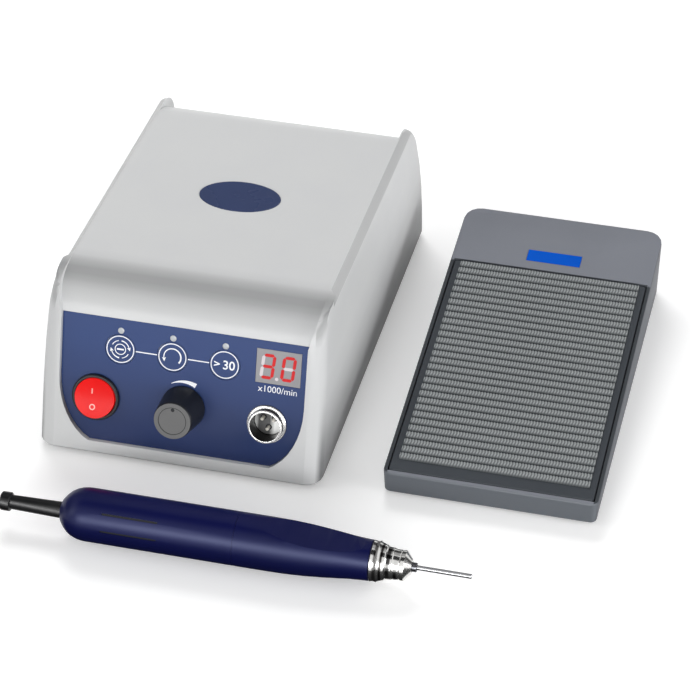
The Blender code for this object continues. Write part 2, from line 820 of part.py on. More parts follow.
def add_housing():
    item = make("housing_shell", housing_outer(), "cover_white", box_frame())
    carve(item, housing_inner(), box_frame())
    carve(item, recess_wall_cut(), panel_frame())
    carve(item, shoulder_recess(), box_frame())
    carve(item, rear_recess(), box_frame())
    seat = PANEL_THICKNESS + SEAT
    carve(item, prism(panel_outline(0), -seat, OVERRUN), panel_frame())
    through = -(panel_back_depth() + OVERRUN)
    for x, drop, radius in panel_holes():
        carve(item, disc(radius, through, OVERRUN, FINE_STEPS), on_panel(x, drop))
    for x in KEY_XS:
        depth = KEY_THICKNESS + KEY_TRAVEL + GAP
        carve(item, disc(KEY_RADIUS + GAP, -depth, OVERRUN, FINE_STEPS), on_panel(x, KEY_DROP))
        carve(item, disc(KEY_STEM_RADIUS + GAP, through, OVERRUN, COARSE_STEPS), on_panel(x, KEY_DROP))
        carve(item, disc(LED_RADIUS + GAP, through, OVERRUN, COARSE_STEPS), on_panel(x, LED_DROP))
    ledge = WINDOW_LEDGE
    opening = block(WINDOW_WIDTH / 2 - ledge, WINDOW_HEIGHT / 2 - ledge, through, OVERRUN)
    carve(item, opening, on_panel(WINDOW_X, WINDOW_DROP))
    for x, drop in board_bosses():
        boss = disc(BOSS_RADIUS, -DISPLAY_BOARD_DEPTH + SEAT, -panel_back_depth() + BOSS_ROOT, COARSE_STEPS)
        join(item, boss, on_panel(x, drop))
    badge = oval(BADGE_HALF_WIDTH + SEAT, BADGE_HALF_LENGTH + SEAT)
    carve(item, prism(badge, -BADGE_SEAT_DEPTH, OVERRUN), lid_frame())
    for x, outline in rear_holes():
        carve(item, prism(outline, -OVERRUN, OVERRUN), rear_frame(x))
    soften(item, 30)


def panel_holes():
    return (
        (ROCKER_X, ROCKER_DROP, ROCKER_BARREL_RADIUS + GAP),
        (KNOB_X, KNOB_DROP, BUSHING_RADIUS + GAP),
        (SOCKET_X, SOCKET_DROP, SOCKET_BARREL_RADIUS + GAP),
    )


def oval(half_width, half_length):
    points = []
    for i in range(ROUND_STEPS):
        turn = math.tau * i / ROUND_STEPS
        points.append((half_width * math.cos(turn), half_length * math.sin(turn)))
    return points


def circle(radius):
    return oval(radius, radius)


def lid_frame():
    slope = Matrix.Rotation(-math.atan(BOX_TOP_SLOPE), 4, "X")
    return box_frame() @ shift(0, BADGE_Y, top_height(BADGE_Y)) @ slope


def rear_holes():
    return (
        (INLET_X, rounded(INLET_WIDTH / 2 + GAP, INLET_HEIGHT / 2 + GAP, INLET_CORNER)),
        (FUSE_X, circle(FUSE_BARREL_RADIUS + GAP)),
        (PEDAL_SOCKET_X, circle(PEDAL_SOCKET_BARREL_RADIUS + GAP)),
    )


def add_front_panel():
    item = make("front_panel", prism(panel_outline(SEAT), -PANEL_THICKNESS, 0), "panel_blue", panel_frame())
    for x, drop, radius in panel_holes():
        carve(item, disc(radius, -OVERRUN, OVERRUN, FINE_STEPS), on_panel(x, drop))
    for x in KEY_XS:
        carve(item, disc(KEY_RADIUS + KEY_GAP, -OVERRUN, OVERRUN, FINE_STEPS), on_panel(x, KEY_DROP))
        carve(item, disc(LED_RADIUS + SEAT, -OVERRUN, OVERRUN, COARSE_STEPS), on_panel(x, LED_DROP))
    opening = block(WINDOW_WIDTH / 2 + SEAT, WINDOW_HEIGHT / 2 + SEAT, -OVERRUN, OVERRUN)
    carve(item, opening, on_panel(WINDOW_X, WINDOW_DROP))


def add_display():
    place = on_panel(WINDOW_X, WINDOW_DROP)
    pane = block(WINDOW_WIDTH / 2, WINDOW_HEIGHT / 2, -PANEL_THICKNESS, 0)
    make("display_window", pane, "window_smoke", place)
    half_width = WINDOW_WIDTH / 2 - WINDOW_LEDGE - DISPLAY_CLEARANCE
    half_height = WINDOW_HEIGHT / 2 - WINDOW_LEDGE - DISPLAY_CLEARANCE
    top = -PANEL_THICKNESS - DISPLAY_CLEARANCE
    body = block(half_width, half_height, -DISPLAY_BOARD_DEPTH + SEAT, top)
    make("display_module", body, "display_black", place)
    for x, side in zip(KEY_XS, ("left", "middle", "right")):
        lens = [(0, -DISPLAY_BOARD_DEPTH + SEAT), (LED_RADIUS, -DISPLAY_BOARD_DEPTH + SEAT)]
        lens += [(LED_RADIUS, 0), (LED_RADIUS * LED_CROWN_SHARE, LED_PROUD), (0, LED_PROUD)]
        lamp = make(f"led_{side}", lathe(lens, COARSE_STEPS), "led_lens", on_panel(x, LED_DROP))
        soften(lamp)


def board_bosses():
    return ((BOSS_X, KEY_DROP), (BOSS_X + KEY_PITCH, KEY_DROP), (BOSS_X + KEY_PITCH * 2, WINDOW_DROP))


def add_display_board():
    left = KEY_XS[0] - KEY_RADIUS - DISPLAY_BOARD_MARGIN
    right = WINDOW_X + WINDOW_WIDTH / 2
    top = LED_DROP - LED_RADIUS - DISPLAY_BOARD_MARGIN
    low = KEY_DROP + KEY_RADIUS + DISPLAY_BOARD_MARGIN
    place = on_panel((left + right) / 2, (top + low) / 2)
    back = -DISPLAY_BOARD_DEPTH - BOARD_THICKNESS
    sheet = block((right - left) / 2, (low - top) / 2, back, -DISPLAY_BOARD_DEPTH)
    item = make("display_board", sheet, "board_green", place)
    for x in KEY_XS:
        tact = block(TACT_HALF_WIDTH, TACT_HALF_WIDTH, back, -DISPLAY_BOARD_DEPTH + TACT_HEIGHT)
        join(item, tact, on_panel(x, KEY_DROP))


def add_keys():
    stem_end = -DISPLAY_BOARD_DEPTH + TACT_HEIGHT + KEY_TRAVEL + GAP
    profile = [(0, stem_end), (KEY_STEM_RADIUS, stem_end), (KEY_STEM_RADIUS, -KEY_THICKNESS)]
    profile += [(KEY_RADIUS, -KEY_THICKNESS), (KEY_RADIUS, 0), (0, 0)]
    for x, side in zip(KEY_XS, ("left", "middle", "right")):
        item = make(f"key_{side}", lathe(profile, FINE_STEPS), "panel_blue", on_panel(x, KEY_DROP))
        soften(item)


def rocker_frame():
    return on_panel(ROCKER_X, ROCKER_DROP) @ shift(0, 0, ROCKER_AXIS_HEIGHT)


def add_power_switch():
    bore = ROCKER_RADIUS + ROCKER_GAP
    edge = ROCKER_BEZEL_BEVEL
    profile = [(0, -ROCKER_BODY_DEPTH), (ROCKER_BARREL_RADIUS, -ROCKER_BODY_DEPTH)]
    profile += [(ROCKER_BARREL_RADIUS, SEAT), (ROCKER_BEZEL_RADIUS, SEAT)]
    profile += [(ROCKER_BEZEL_RADIUS, ROCKER_BEZEL_HEIGHT - edge)]
    profile += [(ROCKER_BEZEL_RADIUS - edge, ROCKER_BEZEL_HEIGHT)]
    profile += [(bore, ROCKER_BEZEL_HEIGHT), (bore, -ROCKER_BODY_DEPTH + ROCKER_FLOOR)]
    profile += [(0, -ROCKER_BODY_DEPTH + ROCKER_FLOOR)]
    item = make("switch_bezel", lathe(profile, ROUND_STEPS), "switch_black", on_panel(ROCKER_X, ROCKER_DROP))
    across = Matrix.Rotation(math.pi / 2, 4, "Y")
    reach = ROCKER_RADIUS + ROCKER_STUB
    pocket = disc(ROCKER_STUB_RADIUS + GAP, -reach - GAP, reach + GAP, COARSE_STEPS)
    carve(item, pocket, rocker_frame() @ across)
    soften(item)

    skirt = -ROCKER_SKIRT_DEPTH
    body = [(0, skirt), (ROCKER_RADIUS * ROCKER_SKIRT_SHARE, skirt), (ROCKER_RADIUS, 0)]
    body += [(ROCKER_RADIUS, ROCKER_END_HEIGHT), (0, ROCKER_END_HEIGHT)]
    rest = rocker_frame() @ Matrix.Rotation(-ROCKER_THROW / 2, 4, "X")
    rocker = make("power_rocker", lathe(body, ROUND_STEPS), "rocker_red", rest)
    hollow = []
    for i in range(-ROCKER_CURVE_STEPS, ROCKER_CURVE_STEPS + 1):
        share = i / ROCKER_CURVE_STEPS
        rise = ROCKER_END_HEIGHT - ROCKER_MIDDLE_HEIGHT
        height = ROCKER_MIDDLE_HEIGHT + rise * abs(share) ** ROCKER_CURVE_POWER
        hollow.append((share * (ROCKER_RADIUS + GAP), height))
    hollow += [(ROCKER_RADIUS + GAP, OVERRUN), (-ROCKER_RADIUS - GAP, OVERRUN)]
    rings = [[Vector((x, y, z)) for y, z in hollow] for x in (-OVERRUN, OVERRUN)]
    carve(rocker, loft(rings), rest)
    join(rocker, disc(ROCKER_STUB_RADIUS, -reach, reach, COARSE_STEPS), rocker_frame() @ across)
    soften(rocker)


def add_speed_control():
    place = on_panel(KNOB_X, KNOB_DROP)
    face = -panel_back_depth() - SEAT
    bore = SHAFT_RADIUS + GAP
    back = face - POT_LENGTH
    floor = back + POT_FLOOR
    profile = [(0, back), (POT_RADIUS, back), (POT_RADIUS, face), (BUSHING_RADIUS, face)]
    profile += [(BUSHING_RADIUS, BUSHING_REACH), (bore, BUSHING_REACH), (bore, floor), (0, floor)]
    pot = make("speed_potentiometer", lathe(profile, FINE_STEPS), "steel", place)
    tabs = block(POT_TAB_HALF_WIDTH, POT_TAB_HALF_HEIGHT, back, back + POT_FLOOR)
    join(pot, moved(tabs, 0, -POT_RADIUS), place)
    soften(pot)

    shaft = make("speed_shaft", disc(SHAFT_RADIUS, floor + GAP, SHAFT_REACH, FINE_STEPS), "steel", place)
    soften(shaft)

    bottom = KNOB_STANDOFF
    top = KNOB_STANDOFF + KNOB_LENGTH
    edge = KNOB_EDGE_ROUND
    seat = KNOB_CAP_RADIUS + SEAT
    seat_floor = top - KNOB_CAP_THICKNESS
    hub_bottom = BUSHING_REACH + GAP
    roof = SHAFT_REACH + SEAT
    rounding = edge * EDGE_SHARE
    profile = [(KNOB_BASE_RADIUS, bottom), (KNOB_FRONT_RADIUS, top - edge)]
    profile += [(KNOB_FRONT_RADIUS - rounding, top - rounding)]
    profile += [(KNOB_FRONT_RADIUS - edge, top), (seat, top), (seat, seat_floor), (0, seat_floor)]
    profile += [(0, roof), (SHAFT_RADIUS + SEAT, roof), (SHAFT_RADIUS + SEAT, hub_bottom)]
    profile += [(KNOB_HUB_RADIUS, hub_bottom), (KNOB_HUB_RADIUS, roof), (KNOB_FRONT_RADIUS - KNOB_WALL, roof)]
    profile += [(KNOB_BASE_RADIUS - KNOB_WALL, bottom)]
    knob = make("speed_knob", lathe(profile, ROUND_STEPS), "knob_grey", place)
    soften(knob)
    cap = rim_disc(KNOB_CAP_RADIUS, seat_floor + SEAT, top + KNOB_CAP_PROUD, KNOB_CAP_PROUD, ROUND_STEPS)
    soften(make("knob_cap", cap, "cap_grey", place))


def add_handpiece_socket():
    place = on_panel(SOCKET_X, SOCKET_DROP)
    back = -SOCKET_BARREL_DEPTH
    bevel = SOCKET_BEVEL
    rim = SOCKET_RING_RADIUS - bevel
    profile = [(SOCKET_BARREL_RADIUS, back), (SOCKET_BARREL_RADIUS, SEAT), (SOCKET_FLANGE_RADIUS, SEAT)]
    profile += [(SOCKET_FLANGE_RADIUS, SOCKET_FLANGE_THICKNESS - bevel)]
    profile += [(SOCKET_FLANGE_RADIUS - bevel, SOCKET_FLANGE_THICKNESS)]
    profile += [(SOCKET_RING_RADIUS, SOCKET_FLANGE_THICKNESS), (SOCKET_RING_RADIUS, SOCKET_REACH - bevel)]
    profile += [(rim, SOCKET_REACH), (SOCKET_BORE_RADIUS, SOCKET_REACH), (SOCKET_BORE_RADIUS, back)]
    shell = make("socket_shell", lathe(profile, ROUND_STEPS), "chrome", place)
    soften(shell)
    top = -SOCKET_INSERT_DEPTH
    plug = disc(SOCKET_BORE_RADIUS - SEAT, back, top, FINE_STEPS)
    insert = make("socket_insert", plug, "switch_black", place)
    for i, side in enumerate(("left", "right", "lower")):
        turn = SOCKET_PIN_START - math.tau * i / SOCKET_PINS
        spot = place @ shift(SOCKET_PIN_CIRCLE * math.cos(turn), SOCKET_PIN_CIRCLE * math.sin(turn), 0)
        carve(insert, disc(SOCKET_PIN_RADIUS + SEAT, -OVERRUN, OVERRUN, COARSE_STEPS), spot)
        pin = rim_disc(SOCKET_PIN_RADIUS, back - SOCKET_PIN_TAIL, -SOCKET_PIN_TIP_DEPTH,
                       SOCKET_PIN_RADIUS / 2, COARSE_STEPS)
        soften(make(f"socket_pin_{side}", pin, "brass_pin", spot))
    soften(insert)
    nut_top = -panel_back_depth() - SEAT
    blank = disc(SOCKET_NUT_RADIUS, nut_top - SOCKET_NUT_THICKNESS, nut_top, NUT_SIDES)
    nut = make("socket_nut", blank, "steel", place)
    carve(nut, disc(SOCKET_BARREL_RADIUS + SEAT, -OVERRUN, OVERRUN, FINE_STEPS), place)
    soften(nut)


def add_badge():
    rings = []
    heights = ((-BADGE_SEAT_DEPTH + SEAT, 0), (0, 0), (BADGE_PROUD, BADGE_PROUD))
    for height, inset in heights:
        points = oval(BADGE_HALF_WIDTH - inset, BADGE_HALF_LENGTH - inset)
        rings.append([Vector((x, y, height)) for x, y in points])
    soften(make("lid_badge", loft(rings), "badge_navy", lid_frame()))


def plate_ring(level, inset):
    height = BOX_FOOT_HEIGHT + level
    front = front_line(height, CHEEK_PROUD)
    outline = box_outline(level, front, BOX_WALL + inset, BOX_FRONT_WALL + inset, BOX_REAR_WALL + inset)
    return [Vector((x, y, height)) for x, y in outline]


def board_standoffs():
    spots = []
    for side in (-1, 1):
        for end in (-1, 1):
            x = MAIN_BOARD_X + side * (MAIN_BOARD_WIDTH / 2 - MAIN_BOARD_INSET)
            spots.append((x, MAIN_BOARD_Y + end * (MAIN_BOARD_LENGTH / 2 - MAIN_BOARD_INSET)))
    return spots


def add_bottom():
    rings = [plate_ring(0, GAP), plate_ring(PLATE_THICKNESS, GAP)]
    plate = make("bottom_plate", loft(rings), "bottom_grey", box_frame())
    top = BOX_FOOT_HEIGHT + PLATE_THICKNESS
    for x, y in board_standoffs():
        post = disc(STANDOFF_RADIUS, top - PLATE_THICKNESS / 2, top + STANDOFF_HEIGHT, COARSE_STEPS)
        join(plate, post, box_frame() @ shift(x, y, 0))
    for side, left_right in ((-1, "left"), (1, "right")):
        for y, end in ((FOOT_INSET_Y, "front"), (BOX_REAR_Y - FOOT_INSET_Y, "rear")):
            spot = box_frame() @ shift(side * (BOX_TOP_HALF_WIDTH - FOOT_INSET_X), y, 0)
            profile = [(0, 0), (FOOT_RADIUS - FOOT_TAPER, 0), (FOOT_RADIUS, BOX_FOOT_HEIGHT - SEAT)]
            profile += [(0, BOX_FOOT_HEIGHT - SEAT)]
            soften(make(f"box_foot_{end}_{left_right}", lathe(profile, COARSE_STEPS), "foot_rubber", spot))


def add_main_board():
    base = BOX_FOOT_HEIGHT + PLATE_THICKNESS + STANDOFF_HEIGHT + SEAT
    place = box_frame() @ shift(MAIN_BOARD_X, MAIN_BOARD_Y, base)
    sheet = block(MAIN_BOARD_WIDTH / 2, MAIN_BOARD_LENGTH / 2, 0, BOARD_THICKNESS)
    board = make("control_board", sheet, "board_green", place)
    for i in range(SINK_FINS):
        x = -MAIN_BOARD_WIDTH / 2 + MAIN_BOARD_INSET + i * SINK_PITCH
        fin = block(SINK_FIN_HALF_WIDTH, SINK_HALF_LENGTH, BOARD_THICKNESS / 2, SINK_HEIGHT)
        join(board, moved(fin, x, 0), place)
    web_left = -MAIN_BOARD_WIDTH / 2 + MAIN_BOARD_INSET
    web_half = SINK_PITCH * (SINK_FINS - 1) / 2
    web = block(web_half, SINK_HALF_LENGTH, BOARD_THICKNESS / 2, BOARD_THICKNESS + SINK_FIN_HALF_WIDTH * 2)
    join(board, moved(web, web_left + web_half, 0), place)
    for y in (-CAPACITOR_Y, CAPACITOR_Y):
        can = disc(CAPACITOR_RADIUS, BOARD_THICKNESS / 2, CAPACITOR_HEIGHT, FINE_STEPS)
        join(board, can, place @ shift(CAPACITOR_X, y, 0))
    soften(board)


def add_transformer():
    base = BOX_FOOT_HEIGHT + PLATE_THICKNESS + SEAT
    place = box_frame() @ shift(CORE_X, CORE_Y, base)
    half_width = CORE_WIDTH / 2
    core = make("transformer_core", block(half_width, CORE_STACK / 2, 0, CORE_HEIGHT), "core_steel", place)
    window = (CORE_WIDTH - CORE_LIMB * 4) / 4
    for side in (-1, 1):
        x = side * (CORE_LIMB + window)
        hole = block(window, OVERRUN, CORE_LIMB, CORE_HEIGHT - CORE_LIMB)
        carve(core, moved(hole, x, 0), place)
    outer_x = CORE_LIMB + window * 2 - GAP
    outer_y = CORE_STACK / 2 + COIL_BULGE
    inner_x = CORE_LIMB + GAP
    inner_y = CORE_STACK / 2 + GAP
    low = CORE_LIMB + SEAT
    high = CORE_HEIGHT - CORE_LIMB - GAP
    winding = prism(rounded(outer_x, outer_y, COIL_CORNER), low, high)
    coil = make("transformer_coil", winding, "coil_copper", place)
    carve(coil, block(inner_x, inner_y, -OVERRUN, CORE_HEIGHT + OVERRUN), place)
    soften(coil)


def add_rear_fittings():
    place = rear_frame(INLET_X)
    margin = INLET_FLANGE_MARGIN
    flange = rounded(INLET_WIDTH / 2 + margin, INLET_HEIGHT / 2 + margin, INLET_CORNER + margin)
    inlet = make("mains_inlet", prism(flange, SEAT, INLET_FLANGE_THICKNESS), "switch_black", place)
    body = rounded(INLET_WIDTH / 2, INLET_HEIGHT / 2, INLET_CORNER)
    join(inlet, prism(body, -INLET_DEPTH, INLET_FLANGE_THICKNESS / 2), place)
    hollow = rounded(INLET_WIDTH / 2 - INLET_WALL, INLET_HEIGHT / 2 - INLET_WALL, INLET_CORNER)
    carve(inlet, prism(hollow, -INLET_CAVITY_DEPTH, OVERRUN), place)
    for i in (-1, 0, 1):
        blade = block(INLET_PIN_WIDTH / 2, INLET_PIN_HEIGHT / 2, -INLET_CAVITY_DEPTH - INLET_WALL,
                      -INLET_CAVITY_DEPTH + INLET_PIN_LENGTH)
        lift = INLET_PIN_LIFT if i == 0 else -INLET_PIN_LIFT
        join(inlet, moved(blade, i * INLET_PIN_PITCH, lift), place)
    soften(inlet)

    place = rear_frame(FUSE_X)
    profile = [(0, -FUSE_DEPTH), (FUSE_BARREL_RADIUS, -FUSE_DEPTH), (FUSE_BARREL_RADIUS, SEAT)]
    profile += [(FUSE_RADIUS, SEAT), (FUSE_RADIUS, FUSE_REACH - CHAMFER_SMALL)]
    profile += [(FUSE_RADIUS - CHAMFER_SMALL, FUSE_REACH), (0, FUSE_REACH)]
    fuse = make("fuse_holder", lathe(profile, FINE_STEPS), "switch_black", place)
    slot = block(FUSE_RADIUS * FUSE_SLOT_SHARE, FUSE_SLOT_WIDTH / 2, FUSE_REACH - FUSE_SLOT_WIDTH, OVERRUN)
    carve(fuse, slot, place)
    soften(fuse)

    place = rear_frame(PEDAL_SOCKET_X)
    bore = PEDAL_SOCKET_BORE_RADIUS
    floor = -PEDAL_SOCKET_DEPTH + PEDAL_SOCKET_FLOOR
    profile = [(0, -PEDAL_SOCKET_DEPTH), (PEDAL_SOCKET_BARREL_RADIUS, -PEDAL_SOCKET_DEPTH)]
    profile += [(PEDAL_SOCKET_BARREL_RADIUS, SEAT), (PEDAL_SOCKET_RADIUS, SEAT)]
    profile += [(PEDAL_SOCKET_RADIUS, PEDAL_SOCKET_REACH - CHAMFER_SMALL)]
    profile += [(PEDAL_SOCKET_RADIUS - CHAMFER_SMALL, PEDAL_SOCKET_REACH), (bore, PEDAL_SOCKET_REACH)]
    profile += [(bore, floor), (0, floor)]
    socket = make("pedal_socket", lathe(profile, FINE_STEPS), "steel", place)
    soften(socket)


# Handpiece: profiles are (radius, distance along the axis from the seam), the tool end positive
def add_motor_sleeve():
    end = -SLEEVE_LENGTH
    rise = SLEEVE_RADIUS - SLEEVE_END_RADIUS
    profile = []
    for along, out in DOME_SHARES:
        profile.append((SLEEVE_END_RADIUS + rise * out, end + SLEEVE_DOME_LENGTH * along))
    inner = SLEEVE_RADIUS - SLEEVE_WALL
    seat = end + SLEEVE_END_WALL
    ledge = seat - BEARING_LENGTH
    tail = BOOT_NECK_RADIUS + SEAT
    profile += [(SLEEVE_RADIUS, 0), (inner, 0), (inner, seat), (BEARING_RADIUS + SEAT, seat)]
    profile += [(BEARING_RADIUS + SEAT, ledge), (tail, ledge), (tail, end)]
    sleeve = make("motor_sleeve", lathe(profile, ROUND_STEPS), "navy_body", hand_frame())
    middle = GROOVE_TURN
    for side in (-1, 1):
        turn = middle + side * GROOVE_ANGLE
        groove = block(GROOVE_WIDTH / 2, GROOVE_DEPTH, -GROOVE_START, -GROOVE_START + GROOVE_LENGTH)
        groove = moved(groove, 0, SLEEVE_RADIUS)
        carve(sleeve, groove, hand_frame() @ Matrix.Rotation(turn, 4, "Z"))
    soften(sleeve, 40)


def add_cord_boot():
    end = -SLEEVE_LENGTH
    tip = end - BOOT_LENGTH
    tail = end + BOOT_TAIL_LENGTH
    profile = [(BOOT_BORE_RADIUS, tip), (BOOT_COLLAR_RADIUS - CHAMFER_SMALL, tip)]
    profile += [(BOOT_COLLAR_RADIUS, tip + CHAMFER_SMALL), (BOOT_COLLAR_RADIUS, tip + BOOT_COLLAR_LENGTH)]
    profile += [(BOOT_TIP_RADIUS, tip + BOOT_COLLAR_LENGTH + CHAMFER_SMALL), (BOOT_ROOT_RADIUS, end - SEAT)]
    profile += [(BOOT_NECK_RADIUS, end - SEAT), (BOOT_NECK_RADIUS, tail), (BOOT_BORE_RADIUS, tail)]
    boot = make("cord_boot", lathe(profile, FINE_STEPS), "boot_black", hand_frame())
    soften(boot)


def add_motor():
    end = -SLEEVE_LENGTH
    seat = end + SLEEVE_END_WALL
    inner = SLEEVE_RADIUS - SLEEVE_WALL
    magnet_start = seat + SEAT
    magnet = tube(inner - SEAT, MAGNET_BORE_RADIUS, magnet_start, magnet_start + MAGNET_LENGTH, FINE_STEPS)
    soften(make("stator_magnet", magnet, "magnet_grey", hand_frame()))

    middle = magnet_start + MAGNET_LENGTH / 2
    half = ROTOR_LENGTH / 2
    core = tube(ROTOR_RADIUS, SPINDLE_RADIUS + SEAT, middle - half, middle + half, ROTOR_STEPS)
    rotor = make("rotor_core", core, "core_steel", hand_frame())
    for i in range(ROTOR_SLOTS):
        slot = block(ROTOR_SLOT_WIDTH / 2, ROTOR_SLOT_DEPTH, -SLEEVE_LENGTH, 0)
        slot = moved(slot, 0, ROTOR_RADIUS)
        carve(rotor, slot, hand_frame() @ Matrix.Rotation(math.tau * i / ROTOR_SLOTS, 4, "Z"))
    soften(rotor)

    front = GRIP_LENGTH + NOSE_RING_LENGTH
    bearing_start = front - HOLDER_BEARING_INSET
    rear_bearing = (BEARING_RADIUS, SPINDLE_RADIUS + GAP, seat - BEARING_LENGTH + SEAT, "rear_bearing")
    front_bearing = (QUILL_BORE_RADIUS - SEAT, HOLDER_RADIUS + GAP, bearing_start, "front_bearing")
    for outer, bore, start, name in (rear_bearing, front_bearing):
        soften(make(name, bearing(outer, bore, start), "steel", hand_frame()))

    holder_end = front + HOLDER_REACH
    holder_start = holder_end - HOLDER_LENGTH
    cavity = COLLET_BODY_RADIUS + GAP
    cavity_floor = holder_end - COLLET_LENGTH - COLLET_TRAVEL
    profile = [(0, seat - BEARING_LENGTH + GAP), (SPINDLE_RADIUS, seat - BEARING_LENGTH + GAP)]
    profile += [(SPINDLE_RADIUS, holder_start), (HOLDER_RADIUS, holder_start), (HOLDER_RADIUS, holder_end)]
    profile += [(cavity, holder_end), (cavity, cavity_floor), (0, cavity_floor)]
    soften(make("spindle", lathe(profile, FINE_STEPS), "steel", hand_frame()))


def bearing(outer, bore, start):
    middle = (outer + bore) / 2
    land = (outer - bore) * BEARING_LAND_SHARE
    face = BEARING_FACE_GROOVE
    end = start + BEARING_LENGTH
    profile = [(bore, start), (middle - land, start), (middle - land, start + face)]
    profile += [(middle + land, start + face), (middle + land, start), (outer, start), (outer, end)]
    profile += [(middle + land, end), (middle + land, end - face), (middle - land, end - face)]
    profile += [(middle - land, end), (bore, end)]
    return lathe(profile, INNER_STEPS)


def add_nose():
    inner = SLEEVE_RADIUS - SLEEVE_WALL - SEAT
    bore = QUILL_BORE_RADIUS
    ring_start = GRIP_LENGTH + GAP
    ring_end = GRIP_LENGTH + NOSE_RING_LENGTH
    end = ring_end + NOSE_SLEEVE_LENGTH
    groove = NOSE_GROOVE_WIDTH
    deep = NOSE_GROOVE_DEPTH
    profile = [(bore, -QUILL_FLANGE_LENGTH), (inner, -QUILL_FLANGE_LENGTH)]
    profile += [(inner, -SEAT), (QUILL_RADIUS, -SEAT)]
    profile += [(QUILL_RADIUS, ring_start), (NOSE_RING_RADIUS - deep, ring_start)]
    profile += [(NOSE_RING_RADIUS, ring_start + deep)]
    ring_step = (ring_end - ring_start) / 2
    waist = ring_start + ring_step
    profile += [(NOSE_RING_RADIUS, waist - groove), (NOSE_RING_RADIUS - deep, waist)]
    profile += [(NOSE_RING_RADIUS - deep, ring_end - groove), (NOSE_STEP_RADIUS, ring_end)]
    for i in range(NOSE_RINGS):
        start = ring_end + NOSE_SLEEVE_LENGTH * i / NOSE_RINGS
        stop = ring_end + NOSE_SLEEVE_LENGTH * (i + 1) / NOSE_RINGS
        radius = NOSE_STEP_RADIUS - (NOSE_STEP_RADIUS - NOSE_CAP_RADIUS) * (i + 1) / NOSE_RINGS
        profile += [(radius, start + groove), (radius, stop - groove), (radius - deep, stop)]
    profile.append((bore, end))
    soften(make("nose_sleeve", lathe(profile, ROUND_STEPS), "chrome", hand_frame()))

    start = end + SEAT
    stop = start + NOSE_CAP_LENGTH
    tip_bore = COLLET_TIP_RADIUS + GAP
    cone = stop - NOSE_CAP_CONE_LENGTH
    wall = NOSE_CAP_WALL
    profile = [(bore, start), (NOSE_CAP_RADIUS - CHAMFER_SMALL, start)]
    profile += [(NOSE_CAP_RADIUS, start + CHAMFER_SMALL)]
    profile += [(NOSE_CAP_RADIUS, cone), (NOSE_CAP_FACE_RADIUS, stop), (tip_bore, stop)]
    profile += [(tip_bore, stop - wall), (bore, cone - wall)]
    soften(make("nose_cap", lathe(profile, ROUND_STEPS), "chrome", hand_frame()))


def cap_end():
    return GRIP_LENGTH + NOSE_RING_LENGTH + NOSE_SLEEVE_LENGTH + SEAT + NOSE_CAP_LENGTH


def add_grip():
    bore = QUILL_RADIUS + GAP
    profile = [(bore, GAP)]
    drop = SLEEVE_RADIUS - GRIP_NOSE_RADIUS
    for along, inward in GRIP_SHARES:
        profile.append((SLEEVE_RADIUS - drop * inward, GAP + (GRIP_LENGTH - GAP) * along))
    profile.append((bore, GRIP_LENGTH))
    grip = make("front_grip", lathe(profile, ROUND_STEPS), "navy_body", hand_frame())
    depth = SLEEVE_RADIUS - SCOOP_FLOOR
    outline = []
    for along, down in SCOOP_SHARES:
        z = SCOOP_START + (SCOOP_END - SCOOP_START) * along
        outline.append((-(SLEEVE_RADIUS + GAP - depth * down), z))
    outline.append((-SLEEVE_RADIUS - OVERRUN, SCOOP_END + GAP))
    outline.append((-SLEEVE_RADIUS - OVERRUN, SCOOP_START))
    rings = [[Vector((x, y, z)) for x, z in outline] for y in (-OVERRUN, OVERRUN)]
    carve(grip, loft(rings), hand_frame())
    soften(grip, 40)


def add_collet():
    tip = cap_end() + COLLET_TIP_REACH
    root = GRIP_LENGTH + NOSE_RING_LENGTH + HOLDER_REACH - COLLET_LENGTH
    neck = cap_end() - NOSE_CAP_WALL - GAP - COLLET_TRAVEL
    bore = TOOL_RADIUS + GAP
    place = hand_frame(root)
    profile = [(bore, 0), (COLLET_BODY_RADIUS, 0), (COLLET_BODY_RADIUS, neck - root)]
    profile += [(COLLET_TIP_RADIUS, neck - root), (COLLET_TIP_RADIUS, tip - root), (bore, tip - root)]
    collet = make("collet", lathe(profile, FINE_STEPS), "steel", place)
    for i in range(COLLET_SLITS):
        slit_end = tip - root - COLLET_SLIT_LENGTH
        slit = block(COLLET_SLIT_WIDTH / 2, COLLET_BODY_RADIUS, slit_end, COLLET_LENGTH + OVERRUN)
        slit = moved(slit, 0, COLLET_BODY_RADIUS + TOOL_RADIUS / 2)
        carve(collet, slit, place @ Matrix.Rotation(math.tau * i / COLLET_SLITS, 4, "Z"))
    soften(collet)

    end = tip + TOOL_REACH
    start = tip - TOOL_GRIPPED_LENGTH
    shank = rim_disc(TOOL_RADIUS, 0, end - start, CHAMFER_SMALL / 2, COARSE_STEPS)
    soften(make("tool_shank", shank, "steel", hand_frame(start)))


# Foot pedal
def pedal_top(y):
    share = (y + PEDAL_HALF_LENGTH) / (PEDAL_HALF_LENGTH * 2)
    return PEDAL_FRONT_HEIGHT + (PEDAL_REAR_HEIGHT - PEDAL_FRONT_HEIGHT) * share


def pedal_outline(inset):
    half = PEDAL_HALF_WIDTH - inset
    length = PEDAL_HALF_LENGTH - inset
    rear = PEDAL_REAR_CORNER - inset
    front = PEDAL_FRONT_CORNER - inset
    outline = corner_points((half - rear, length - rear), rear, 0)
    outline += corner_points((rear - half, length - rear), rear, 1)
    outline += corner_points((front - half, front - length), front, 2)
    outline += corner_points((half - front, front - length), front, 3)
    return outline


def pedal_ring(inset, drop):
    return [Vector((x, y, pedal_top(y) - drop)) for x, y in pedal_outline(inset)]


def flat_ring(inset, height):
    return [Vector((x, y, height)) for x, y in pedal_outline(inset)]


def hinge_point():
    return treadle_frame() @ shift(0, HINGE_INSET_Y, -HINGE_DEPTH)


